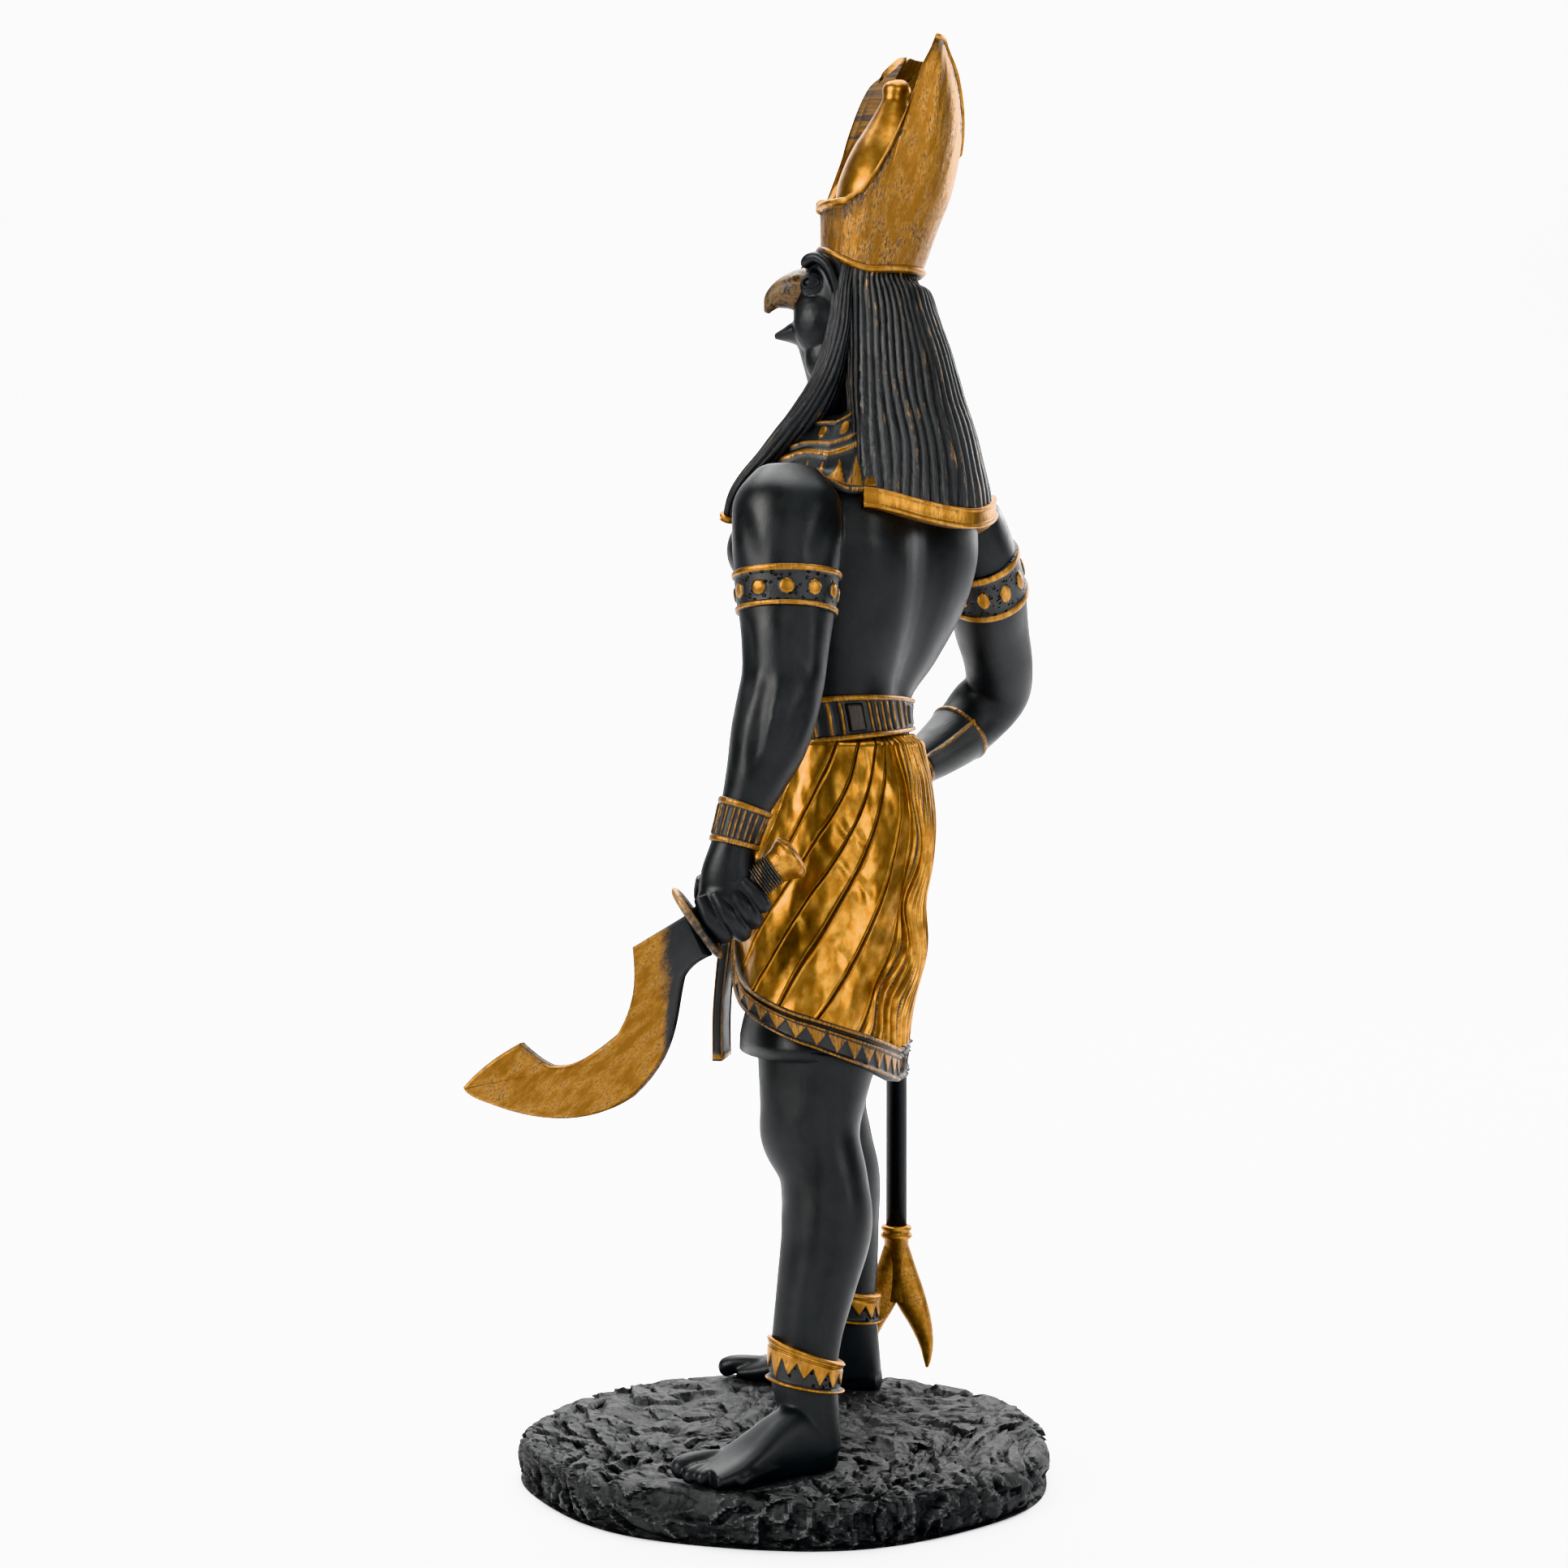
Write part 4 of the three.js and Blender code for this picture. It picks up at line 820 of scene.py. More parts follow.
# %% Head
bm = bmesh.new()
skin(bm, TRUNK, spread(10.5, 16, 45), 64, trunk_shape, power=TRUNK_POWER)
UPPER_BEAK = [
    [0.2, 8, 243.4, 5.6, 5.2, 4.6, 0], [0.2, 4.6, 243.2, 5.2, 5.0, 4.4, 0],
    [0.2, 2.0, 242.8, 4.5, 4.6, 4.2, 0], [0.2, -0.8, 242.0, 3.5, 3.6, 3.4, 0],
    [0.2, -3.0, 240.6, 2.2, 2.2, 2.4, 0], [0.2, -4.1, 239.0, 1.1, 1.2, 1.2, 0],
    [0.2, -4.5, 237.9, 0.55, 0.6, 0.6, 0]]
LOWER_BEAK = [
    [0.2, 6, 233.9, 4.6, 3.2, 3.0, 0], [0.2, 1.8, 233.9, 3.8, 2.8, 2.4, 0],
    [0.2, -0.6, 233.5, 2.4, 1.7, 1.4, 0], [0.2, -2.9, 233.0, 0.7, 0.6, 0.5, 0]]
for side in (1, -1):
    ball(bm, (4.4 * side, 7.6, 235.2), (5.2, 6.6, 7.6))
    ball(bm, (4.6 * side, 9.6, 228), (4.6, 6.2, 7))
    ball(bm, (6.2 * side, 5.4, 243.0), (1.9, 3.0, 3.0), yaw=-18 * side)
    brow = [(4.6, 3.5, 247.4), (6.0, 4.2, 248.3), (7.4, 6.0, 248.6), (8.6, 8.2, 246.8), (9.2, 9.6, 243.6),
            (9.4, 10.4, 240.2), (9.2, 10.8, 237)]
    tube(bm, [(x * side, y, z) for x, y, z in brow], [1.1, 1.3, 1.2, 1.1, 0.95, 0.75, 0.45], 16, Z_AXIS)
skin(bm, LOWER_BEAK, spread(0, 3, 16), 32)
face = blended(bm, voxel=0.3, smoothing=4)
as_piece("head", face, black_skin)

bm = bmesh.new()
skin(bm, UPPER_BEAK, spread(0, 6, 49), 48)
beak = blended(bm, voxel=0.24, smoothing=2)
for side in (1, -1):
    for vert in beak.verts:
        x, y, z = vert.co
        away = Vector(((x - 4.2 * side) / 1.6, (y - 2.0) / 0.8, (z - 244.4) / 0.6)).length
        vert.co.x -= side * (0.9 * bell(away, 0.9) - 0.25 * bell(away - 1.7, 0.5))
as_piece("beak", beak, beak_bronze)

bm = bmesh.new()
for side in (1, -1):
    ball(bm, (7.25 * side, 4.6, 243.3), (0.9, 1.35, 0.85), yaw=-20 * side)
    rim = []
    for k in range(25):
        angle = math.tau * k / 24
        back = max(0.0, math.cos(angle))
        rim.append((side * (7.75 + 0.45 * math.cos(angle)), 4.7 + 1.75 * math.cos(angle),
                    243.3 + 1.15 * math.sin(angle) * (1 - 0.35 * back)))
    tube(bm, rim, [0.26] * 25, 10, X_AXIS, steps=2)
as_piece("eyes", bm, black_skin)

# %% [markdown]
# ## The wig
# The hair falls in round strands from under the crown. Around a section the strands have even width, so the
# angle of each one comes from the length along the section, not from the angle alone.

# %% Wig and lappets
WIG_POWER = 2.5
WIG = [
    [0, 16, 191.6, 20, 3, 27.6, 3], [0, 16, 200, 19.4, 3, 27.2, 3], [0, 16, 208, 18, 3, 25.2, 3],
    [0, 15.6, 217.5, 16, 3.4, 22.6, 3], [0, 15.4, 228, 14, 3.6, 19.9, 3], [0, 15.4, 238, 12.4, 3.6, 16.5, 3],
    [0, 15.4, 244.6, 11.2, 4, 13.8, 3], [0, 17, 251, 9.6, 6, 9.8, 3]]
LEFT_LAPPET = [
    [3.6, -7.8, 194.6, 8.4, 2, 2, 0], [5.8, -6.2, 199.6, 8.8, 2.4, 2.4, 0], [7.6, -0.2, 206.8, 8.4, 3, 3, 0],
    [7.8, 5.2, 214.6, 6.8, 3.4, 3.4, 0], [8.4, 9, 223, 4.6, 3.4, 3.4, 0], [8.8, 11.4, 233, 3.4, 3.2, 3.2, 0],
    [7.9, 12.6, 243, 2.8, 2.8, 2.8, 0], [6.2, 14.5, 251.5, 2.4, 2.4, 2.4, 0]]
RIGHT_LAPPET = [
    [-20.6, 8.6, 193.6, 8, 2, 2, 0], [-19, 9.2, 199.6, 8, 2.4, 2.4, 0], [-15, 9.6, 206.6, 7.6, 3, 3, 0],
    [-11, 11, 214.6, 6.8, 3.6, 4.2, 0], [-9.4, 11.4, 223, 4.6, 3.4, 3.4, 0], [-9, 12, 233, 3.4, 3.2, 3.2, 0],
    [-7.9, 12.8, 243, 2.8, 2.8, 2.8, 0], [-6.2, 14.5, 251.5, 2.4, 2.4, 2.4, 0]]
LAPPET_GUIDE = Vector((0.8, -0.6, 0))
LAPPET_POWER = 2.6


def shares_around(rows, at, sides, power, guide):
    """How far round each point of a section is, as a share of the length round it."""
    ring = section(rows, at, sides, guide, power)
    total, shares = 0.0, [0.0]
    for here, after in zip(ring, ring[1:] + ring[:1]):
        total += (after - here).length
        shares.append(total)
    return [share / total for share in shares]


def strand_height(phase, depth):
    """A round strand between two grooves; phase counts strands."""
    return depth * (abs(math.sin(math.pi * phase)) ** 0.42 - 1)


def hair(bm, rows, places, sides, count, depth, power, guide=X_AXIS, waver=0.15):
    shares = shares_around(rows, len(rows) / 2, sides, power, guide)

    def shape(at, angle):
        i = int(round(angle / math.tau * sides)) % sides
        phase = shares[i] * count + 0.5 * noise.noise(Vector((shares[i] * 11, at * 0.7, 2.0)))
        drift = waver * noise.noise(Vector((math.floor(phase) * 3.1, at * 0.8, 1.0)))
        uneven = 0.12 * noise.noise(Vector((shares[i] * 40, at * 2.0, 5.0)))
        height = strand_height(phase, depth) + drift + uneven
        return height, clamp(1 + (height - 0.1) / depth), 0.0

    return skin(bm, rows, places, sides, shape, guide, power)


bm = bmesh.new()
hair(bm, WIG, spread(0.5, 7, 90), 560, 54, 0.95, WIG_POWER)
as_piece("wig", bm, bronzed_hair)
bm = bmesh.new()
for rows in (LEFT_LAPPET, RIGHT_LAPPET):
    hair(bm, rows, spread(0.3, 7, 76), 200, 22, 0.5, LAPPET_POWER, LAPPET_GUIDE, 0.08)
as_piece("lappets", bm, bronzed_hair)


def rimmed(u, edge):
    """Across a band: 1 on the two rims, 0 on the ground between them."""
    return smoothstep(u, 0.0, 0.05) * (1 - smoothstep(u, edge, edge + 0.05)) \
        + smoothstep(u, 1 - edge - 0.05, 1 - edge) * (1 - smoothstep(u, 0.95, 1.0))


def band(bm, rows, start, end, look, steps=40, sides=240, guide=X_AXIS, power=2.0,
         base=0.6, rim=0.7, edge=0.13):
    """A band round a limb: look(u, angle) adds height and gilding to the ground between its rims."""
    def shape(at, angle):
        u = (at - start) / (end - start)
        edges = rimmed(u, edge)
        rise, gilt = look(u, angle)
        ends = 1.0 if 0.01 < u < 0.99 else 0.0
        height = ends * (base + max(rim * edges, rise)) - (1 - ends) * 0.9
        return height, 0.3 + 0.7 * max(edges, gilt), max(edges, gilt)

    places = [start] + spread(start + 0.012 * (end - start), end - 0.012 * (end - start), steps) + [end]
    return skin(bm, rows, places, sides, shape, guide, power)


def wig_hem_ring(up, grow):
    """A ring of the hem: it dips between the side and the middle of the back."""
    ring = []
    for angle in turns(360):
        low = 195.2 - 3.9 * abs(math.sin(2 * angle)) * (1 if math.sin(angle) > 0 else 0)
        x, y, _, *sizes, _ = between(WIG, row_at(WIG, max(low + up, WIG[0][2])))
        proud = grow + (2.2 * (1 - smoothstep(math.sin(angle), 0.0, 0.35)) if grow > 0 else 0.0)
        sideways, depth = oval(angle, WIG_POWER, *sizes, proud)
        ring.append(Vector((x + sideways, y + depth, low + up)))
    return ring


bm = bmesh.new()
hem_profile = [(0.1, -2.5, 0.2), (0.0, 0.3, 0.5), (0.15, 0.9, 0.95), (0.5, 1.1, 1.0), (0.8, 0.85, 0.7),
               (1.0, 0.55, 0.45), (1.3, 0.6, 0.8), (2.2, 0.7, 0.85), (3.2, 0.6, 0.8), (3.5, 0.6, 0.6),
               (3.7, 0.85, 0.9), (4.0, 1.0, 1.0), (4.25, 0.7, 0.9), (4.35, 0.2, 0.5), (4.3, -2.5, 0.2)]
rings = [wig_hem_ring(up, grow) for up, grow, relief in hem_profile]
marks = [[(relief, 1.0, tuple(spot)) for spot in ring] for ring, (_, _, relief) in zip(rings, hem_profile)]
loft(bm, rings, marks)
parts = bm.verts[:] + bm.edges[:] + bm.faces[:]
bmesh.ops.bisect_plane(bm, geom=parts, plane_co=(0, 15.5, 0), plane_no=(0, -1, 0), clear_outer=True)
bmesh.ops.holes_fill(bm, edges=[edge for edge in bm.edges if edge.is_boundary])
for rows in (LEFT_LAPPET, RIGHT_LAPPET):
    band(bm, rows, 0, 0.42, lambda u, angle: (0.0, 0.8), steps=16, sides=96, guide=LAPPET_GUIDE,
         power=LAPPET_POWER, base=0.4, rim=0.4, edge=0.2)
as_piece("wig_hems", bm, painted_trim)

# %% [markdown]
# ## The crown
# An open cup of two tall petals that lean back round a tall bulb. How high the wall stands at each angle
# comes from the curve of the petal's front edge and from the notch at the back. A bead runs along the edge.

# %% Crown
CROWN = [
    [0, 17.6, 244.6, 10.8, 11, 10.5, 0], [0, 18.4, 250, 11.2, 11.6, 11.5, 0],
    [0, 19.6, 256, 12, 12.8, 12.5, 0], [0, 20.8, 262, 13, 13.8, 13.6, 0], [0, 22.6, 270, 14, 13, 13.7, 0],
    [0, 24.6, 278, 14.6, 12.6, 12.5, 0], [0, 27.4, 287, 14.6, 11.4, 8.9, 0],
    [0, 30.6, 294, 13.8, 7, 2.8, 0]]
CROWN_POWER = 2.1
CROWN_WALL = 1.6
CROWN_SIDES = 288
NEAR_EDGE = [[0, 261], [10, 260.6], [12, 260.6], [15.4, 262.6], [18.6, 266.6], [22, 272.8], [25.1, 279.6],
             [27, 286], [28.6, 291], [31, 297]]
FAR_EDGE = [[0, 261], [8.4, 262], [9.4, 267], [10.6, 273.7], [12.2, 279], [13.8, 283], [16.6, 287.4],
            [21.2, 292], [25.2, 294], [30.6, 296]]


def edge_height(edge, y):
    for (y0, z0), (y1, z1) in zip(edge, edge[1:]):
        if y <= y1:
            return z0 + (z1 - z0) * clamp((y - y0) / (y1 - y0))
    return edge[-1][1]


crown_levels = spread(252, 294, 420)
crown_rows = [between(CROWN, row_at(CROWN, z)) for z in crown_levels]


def crown_spot(row, angle, grow):
    x, y, _, *sizes, _ = row
    sideways, depth = oval(angle, CROWN_POWER, *sizes, grow)
    return x + sideways, y + depth


def crown_top(angle):
    """The height where the wall ends at this angle."""
    for row, z in zip(crown_rows, crown_levels):
        x, y = crown_spot(row, angle, 0.0)
        if z > edge_height(NEAR_EDGE if x > 0 else FAR_EDGE, y):
            return z
        if y > 24 and z > 272 and abs(x) < (z - 272) * 11.6 / 26:
            return z
    return 293.8


crown_tops = [crown_top(angle) for angle in turns(CROWN_SIDES)]


def edge_slope(i):
    """The cosine of the edge's steepness, so that its bead keeps one width on steep parts."""
    spots = []
    for k in (i - 2, i + 2):
        z = crown_tops[k % CROWN_SIDES]
        x, y = crown_spot(between(CROWN, row_at(CROWN, z)), math.tau * k / CROWN_SIDES, 0.0)
        spots.append(Vector((x, y, z)))
    run = spots[1] - spots[0]
    return run.to_2d().length / max(run.length, 1e-6)


crown_cosines = [edge_slope(i) for i in range(CROWN_SIDES)]


def crown_ring(low, high, share, grow):
    """One ring of the wall; low(angle) and high[i] are its heights, grow(i, z) its offset."""
    spots = []
    for i, angle in enumerate(turns(CROWN_SIDES)):
        z = low(angle) + (high[i] - low(angle)) * share
        x, y = crown_spot(between(CROWN, row_at(CROWN, z)), angle, grow(i, z))
        spots.append(Vector((x, y, z)))
    return spots


def crown_foot(angle):
    """The lower edge is level at the sides and the back and climbs over the forehead."""
    return 245.1 + 0.5 * max(0.0, math.sin(angle)) + 5.6 * max(0.0, -math.sin(angle)) ** 1.5


def from_edge(i, z):
    """Distance to the edge in millimetres, and the width of the bead there: wider on the front rim."""
    front = smoothstep(-math.sin(math.tau * i / CROWN_SIDES), 0.35, 0.9)
    return (crown_tops[i] - z) * crown_cosines[i], 1.15 + 0.5 * front, 0.55 + 0.4 * front


def wall_grow(i, z):
    away, width, rise = from_edge(i, z)
    if away < width:
        return rise * math.sqrt(max(0.0, 1 - (2 * away / width - 1) ** 2)) - 0.05
    groove = -0.28 * bell(away - width - 0.3, 0.28)
    return groove + 0.12 * noise.noise(Vector((i * 0.16, 1.0, z * 0.12)))


def wall_relief(i, z):
    away, width, _ = from_edge(i, z)
    if away < width:
        return 1.0
    return 0.22 + 0.36 * smoothstep(away - width, 0.5, 4.0) + 0.14 * smoothstep(z, 250, 268)


rings, marks = [], []
for share in spread(0, 0.9, 46) + spread(0.9035, 1.0, 28):
    sunk = -0.35 * (1 - smoothstep(share, 0, 0.02))
    rings.append(crown_ring(crown_foot, crown_tops, share, lambda i, z: wall_grow(i, z) + sunk))
    marks.append([wall_relief(i, spot.z) for i, spot in enumerate(rings[-1])])
for level in spread(294, 256, 80):
    heights = [min(top, level) for top in crown_tops]
    rings.append(crown_ring(lambda angle: 0.0, heights, 1.0, lambda i, z: -CROWN_WALL))
    marks.append([0.5] * CROWN_SIDES)
for k, ring in enumerate(rings):
    marks[k] = [(relief, 1.0, around(13, angle, spot.z))
                for relief, angle, spot in zip(marks[k], turns(CROWN_SIDES), ring)]
bm = bmesh.new()
loft(bm, rings, marks)
bmesh.ops.remove_doubles(bm, verts=bm.verts, dist=0.0002)
as_piece("crown", bm, crown_gold)

bm = bmesh.new()
rings, marks = [], []
ring_profile = [(-0.4, -1.6), (-0.3, 0.1), (0.0, 0.6), (0.3, 0.8), (0.65, 0.85), (1.0, 0.65), (1.3, 0.2),
                (1.5, -1.2)]
for up, grow in ring_profile:
    heights = [crown_foot(angle) + up for angle in turns(CROWN_SIDES)]
    rings.append(crown_ring(lambda angle: 0.0, heights, 1.0, lambda i, z: grow))
    marks.append([(0.35 + 0.6 * grow, 1.0, tuple(spot)) for spot in rings[-1]])
loft(bm, rings, marks)
as_piece("crown_foot", bm, crown_gold)

BULB = [[0, 19, 250, 8, 8, 8, 0], [0, 19.6, 258, 9.5, 9.5, 9.5, 0], [0, 20.1, 263.5, 9.7, 9.7, 9.7, 0],
        [0, 21.0, 270.4, 8, 8, 8, 0], [0, 21.9, 276.7, 5.2, 5.2, 5.2, 0],
        [0, 22.5, 280.8, 3.5, 3.5, 3.5, 0], [0, 22.8, 282.8, 2.9, 2.9, 2.9, 0],
        [0, 23.1, 284.9, 3.1, 3.1, 3.1, 0], [0, 23.3, 286.4, 2.3, 2.3, 2.3, 0],
        [0, 23.3, 287.1, 0.7, 0.7, 0.7, 0]]
bm = bmesh.new()
skin(bm, BULB, spread(0, 9, 73), 72, lambda at, angle: (0.0, 0.75, 1.0))
as_piece("crown_bulb", bm, polished_gold)

# %% [markdown]
# ## The collar
# A broad collar lies on the shoulders. Rays toward the middle of the chest find the skin along many lines
# from the rim to the neck. Along each line the distance from the rim is measured in millimetres, so the rims
# and the row of triangles keep their width all round. Each point is then the mean of its neighbours, so that
# the collar bridges small folds, and its inner part stands up toward the neck at the sides.

# %% Collar
COLLAR_CENTRE = Vector((-1.6, 18, 186))
COLLAR_SPOKES = 420
COLLAR_WIDTH = 15.0
COLLAR_STAND = 8.5
COLLAR_POINTS = 40
COLLAR_STUDS = 24


def collar_reach(angle):
    front_or_back = 26 if math.sin(angle) > 0 else 27.4
    turn = math.radians(CHEST_TURN)
    local = Vector((28 * math.cos(angle), front_or_back * math.sin(angle)))
    return local.length, Vector((local.x * math.cos(turn) + local.y * math.sin(turn),
                                 -local.x * math.sin(turn) + local.y * math.cos(turn))).normalized()


def collar_line(angle):
    """Points and normals on the skin from the rim up to the neck."""
    reach, out = collar_reach(angle)
    lowest = 170 + 28 * smoothstep(math.sin(angle), -0.35, 0.05)
    line, last = [], None
    for lift in spread(4, 84, 54):
        tilt = math.radians(lift)
        ray = Vector((out.x * math.cos(tilt), out.y * math.cos(tilt), math.sin(tilt)))
        spot, normal, _, _ = torso_skin.ray_cast(COLLAR_CENTRE + ray * 70, -ray)
        if spot is None:
            continue
        flat = (spot - COLLAR_CENTRE).to_2d().length
        if flat <= reach and spot.z >= lowest:
            if last and not line:
                t = max(clamp((last[2] - reach) / max(last[2] - flat, 1e-6)),
                        clamp((lowest - last[0].z) / max(spot.z - last[0].z, 1e-6)))
                line.append((last[0].lerp(spot, t), last[1].lerp(normal, t).normalized()))
            line.append((spot, normal))
        last = (spot, normal, flat)
    return line


def along_line(line, distance):
    gone = 0.0
    for (p, n), (q, m) in zip(line, line[1:]):
        step = (q - p).length
        if gone + step >= distance:
            t = (distance - gone) / max(step, 1e-6)
            return p.lerp(q, t), n.lerp(m, t).normalized()
        gone += step
    return line[-1]


def triangles(across, low, high, phase):
    """Points that stand on the low edge; phase counts triangles."""
    share = (across - low) / (high - low)
    if not 0 <= share <= 1:
        return 0.0
    off = abs(phase % 1.0 - 0.5) * 2
    return smoothstep(1.0 - share - off, -0.06, 0.10)


def collar_look(s, angle):
    rims = max(bell(s - 0.6, 0.5), bell(s - 6.9, 0.45), bell(s - 8.3, 0.3), bell(s - 12.2, 0.4))
    teeth = triangles(s, 1.4, 6.2, angle / math.tau * COLLAR_POINTS)
    stud_phase = (angle / math.tau * COLLAR_STUDS) % 1.0 - 0.5
    stud = smoothstep(1.35 - Vector((stud_phase * 5.6, s - 10.2)).length, 0.0, 0.5)
    rise = 0.7 + max(0.5 * rims, 0.22 * teeth, 0.4 * stud)
    return rise, max(rims, teeth, stud)


def evened(ring, reach=8):
    """Each vector becomes the mean of its neighbours, so the collar bridges small folds of the skin."""
    count, width = len(ring), 2 * reach + 1
    return [sum((ring[(i + k) % count] for k in range(-reach, reach + 1)), Vector()) / width
            for i in range(count)]


rings, marks = [], []
lines = [collar_line(angle) for angle in turns(COLLAR_SPOKES)]
distances = [0.0, 0.0] + spread(0.05, COLLAR_WIDTH, 76) + [COLLAR_WIDTH]
for k, s in enumerate(distances):
    ring, mark = [], []
    spots, normals = zip(*[along_line(line, s) for line in lines])
    for angle, spot, normal in zip(turns(COLLAR_SPOKES), evened(spots), evened(normals)):
        rise, gilt = collar_look(s, angle)
        rise = -0.6 if k in (0, len(distances) - 1) else rise
        stand = COLLAR_STAND * smoothstep(s, 0, 13) * smoothstep(abs(math.cos(angle)), 0.3, 0.8)
        ring.append(spot + normal * rise + Z_AXIS * stand)
        mark.append((0.25 + 0.75 * gilt, gilt, around(24, angle, s)))
    rings.append(ring)
    marks.append(mark)
bm = bmesh.new()
loft(bm, rings, marks)
as_piece("collar", bm, dim_trim)

# %% [markdown]
# ## Bands
# Every band is a loft that follows the limb a little above the skin: two gilded rims and a black ground with
# studs, bars or points in it. What a band carries is a small function of the place across it and the angle.

# %% Armbands, bracer, belt and anklets


def studs(u, angle, count, length, girth, radius):
    """Round studs in a row; length is the band's width, in millimetres."""
    phase = (angle / math.tau * count + 0.5) % 1.0 - 0.5
    away = Vector((phase * girth / count, (u - 0.5) * length)).length
    dome = math.sqrt(max(0.0, 1 - (away / radius) ** 2))
    return 0.5 * dome ** 0.5, smoothstep(dome, 0.05, 0.25)


def armband_look(u, angle):
    return studs(u, angle, count=11, length=8.5, girth=62, radius=1.45)


def bars(phase, places, width):
    return max(bell(phase - place, width) for place in places)


def within(u, margin):
    return smoothstep(u, margin, margin + 0.05) * (1 - smoothstep(u, 0.95 - margin, 1 - margin))


def wristband_look(u, angle):
    phase = (angle / math.tau * 3 + 0.1) % 1.0
    stripes = bars(phase, (0.06, 0.17, 0.27, 0.42, 0.56, 0.64, 0.82, 0.93), 0.021) * within(u, 0.15)
    return 0.4 * stripes, stripes


def bracer_look(u, angle):
    seam = max(bell(math.sin((angle - 0.4) / 2), 0.03), bell(math.sin((angle + 2.2) / 2), 0.03))
    return 0.5 * seam, seam


def belt_look(u, angle):
    """Groups of three and of four bars with a worn pad between them."""
    phase = ((math.degrees(angle) - 27) / 72 + 0.5) % 1.0 - 0.5
    stripes = bars(phase * 72, (-31, -21.5, -12, 14, 20.5, 27, 33.5), 1.5) * within(u, 0.14)
    pad = smoothstep(0.1 - abs(phase), -0.01, 0.02) * within(u, 0.2)
    return max(0.5 * stripes, 0.55 * pad), max(stripes, 0.46 * pad)


def anklet_look(u, angle):
    """Gold above with points that hang down over a punched black ground, and a proud lower rim."""
    tooth = angle / math.tau * 14
    tip = 0.24 + 0.10 * math.sin(math.floor(tooth) * 2.4 + 1)
    line = tip + (0.68 - tip) * abs(tooth % 1.0 - 0.5) * 2
    gilt = smoothstep(u - line, -0.02, 0.02)
    groove = bell(u - 0.82, 0.02)
    foot = bell(u - 0.06, 0.06)
    return max(0.4 * gilt - 0.35 * groove, 1.0 * foot), max(gilt, foot)


def sheared(bm, slope, upright=12.0):
    """Tilt a band so that it climbs by slope for each millimetre toward the back."""
    for vert in bm.verts:
        vert.co.z += (vert.co.y - upright) * slope
    return bm


bm = bmesh.new()
band(bm, LEFT_ARM, 3.05, 4.15, armband_look, base=0.15, rim=0.5)
band(bm, RIGHT_ARM, 2.2, 3.2, armband_look, guide=RIGHT_ARM_GUIDE, base=0.15, rim=0.5)
as_piece("armbands", bm, punched_trim)
bm = bmesh.new()
band(bm, LEFT_ARM, 9.78, 11.08, wristband_look, base=0.25, rim=0.4)
as_piece("wristband", bm, dim_trim)
bm = bmesh.new()
band(bm, RIGHT_ARM, 7.9, 10.2, bracer_look, guide=RIGHT_ARM_GUIDE, edge=0.05, base=0.25, rim=0.3)
as_piece("bracer", bm, dim_trim)
bm = bmesh.new()
band(bm, TRUNK, 2.4, 3.45, belt_look, sides=560, power=TRUNK_POWER, edge=0.12)
as_piece("belt", sheared(bm, 0.09), dim_trim)
for name, rows in (("anklet_left", LEFT_LEG), ("anklet_right", RIGHT_LEG)):
    bm = bmesh.new()
    band(bm, rows, 1.62, 2.58, anklet_look, steps=50, edge=0.07)
    as_piece(name, sheared(bm, -0.25, between(rows, 2.1)[1]), punched_trim)

# %% [markdown]
# ## The kilt
# Gold cloth wraps the hips. Thin double lines slant down from the belt toward the front, and at the back the
# cloth is drawn together in deep gathers. The hem climbs to the belt in front, so each ring of cloth changes
# height on its way round. The folds are displaced in the ring; painted shade darkens their hollows and
# grooves, and a painted highlight lightens their crests.

# %% Kilt
KILT = [
    [0, 7.2, 72, 34.5, 18, 16.8, 6], [0, 7.2, 84, 33.5, 18, 17.4, 6], [0, 7.8, 98, 31.4, 18.4, 18.8, 7],
    [0, 9.2, 112, 28.6, 18.2, 19.6, 8], [0, 10.4, 126, 25.4, 17, 19.2, 8],
    [0, 11.4, 138, 22.4, 15.6, 17.6, 10], [0, 12, 148, 19.8, 14.2, 15, 14]]
KILT_POWER = 2.2
KILT_WAIST = 148.6
KILT_GIRTH = 26
GATHERS = 6.5
LINE_OFFSETS = (-0.75, -0.6, -0.5, -0.42, -0.34, -0.22, -0.1, 0, 0.1, 0.22, 0.34, 0.42, 0.5, 0.6, 0.75)
LINES = [-1.42, -1.2, -0.95, -0.62, -0.28, 0.08, 0.53]
LEANING = [(-1.5708, -1.5708), (-1.42, -0.3), (-1.2, 0.2), (-0.95, 0.49), (-0.62, 0.72), (-0.28, 0.85),
           (0.08, 0.93), (0.53, 1.02), (1.0, 1.2), (1.5708, 1.5708)]
PINCHES = [(0.20, 129, 0.5), (0.38, 127, 0.4), (0.0, 126, 0.5), (0.22, 121.5, 0.5), (0.44, 117.5, 0.4),
           (-0.1, 111, 0.35), (-0.5, 118, 0.4), (-0.9, 124, 0.4), (0.3, 104, 0.3)]


def kilt_hem(angle):
    turn = from_front(angle)
    return max(76.0, 98.4 - 7.95 * turn) + 43 * max(0.0, 1 - turn / 0.9) ** 2.8


def hem_height(angle):
    """The band is a little wider toward the back."""
    return 5.6 + 1.5 * smoothstep(from_front(angle), 0.9, 2.5)


def cloth_spot(height, angle, grow):
    x, y, _, width, front, back, yaw = between(KILT, row_at(KILT, height))
    across, depth = oval(angle, KILT_POWER, width, front, back, grow)
    c, s = math.cos(math.radians(yaw)), math.sin(math.radians(yaw))
    return Vector((x + across * c + depth * s, y - across * s + depth * c, height))


def bunched(start):
    """How far a thread lies in the gathers at the back; start is its angle at the hem."""
    return smoothstep(start, 0.42, 0.66)


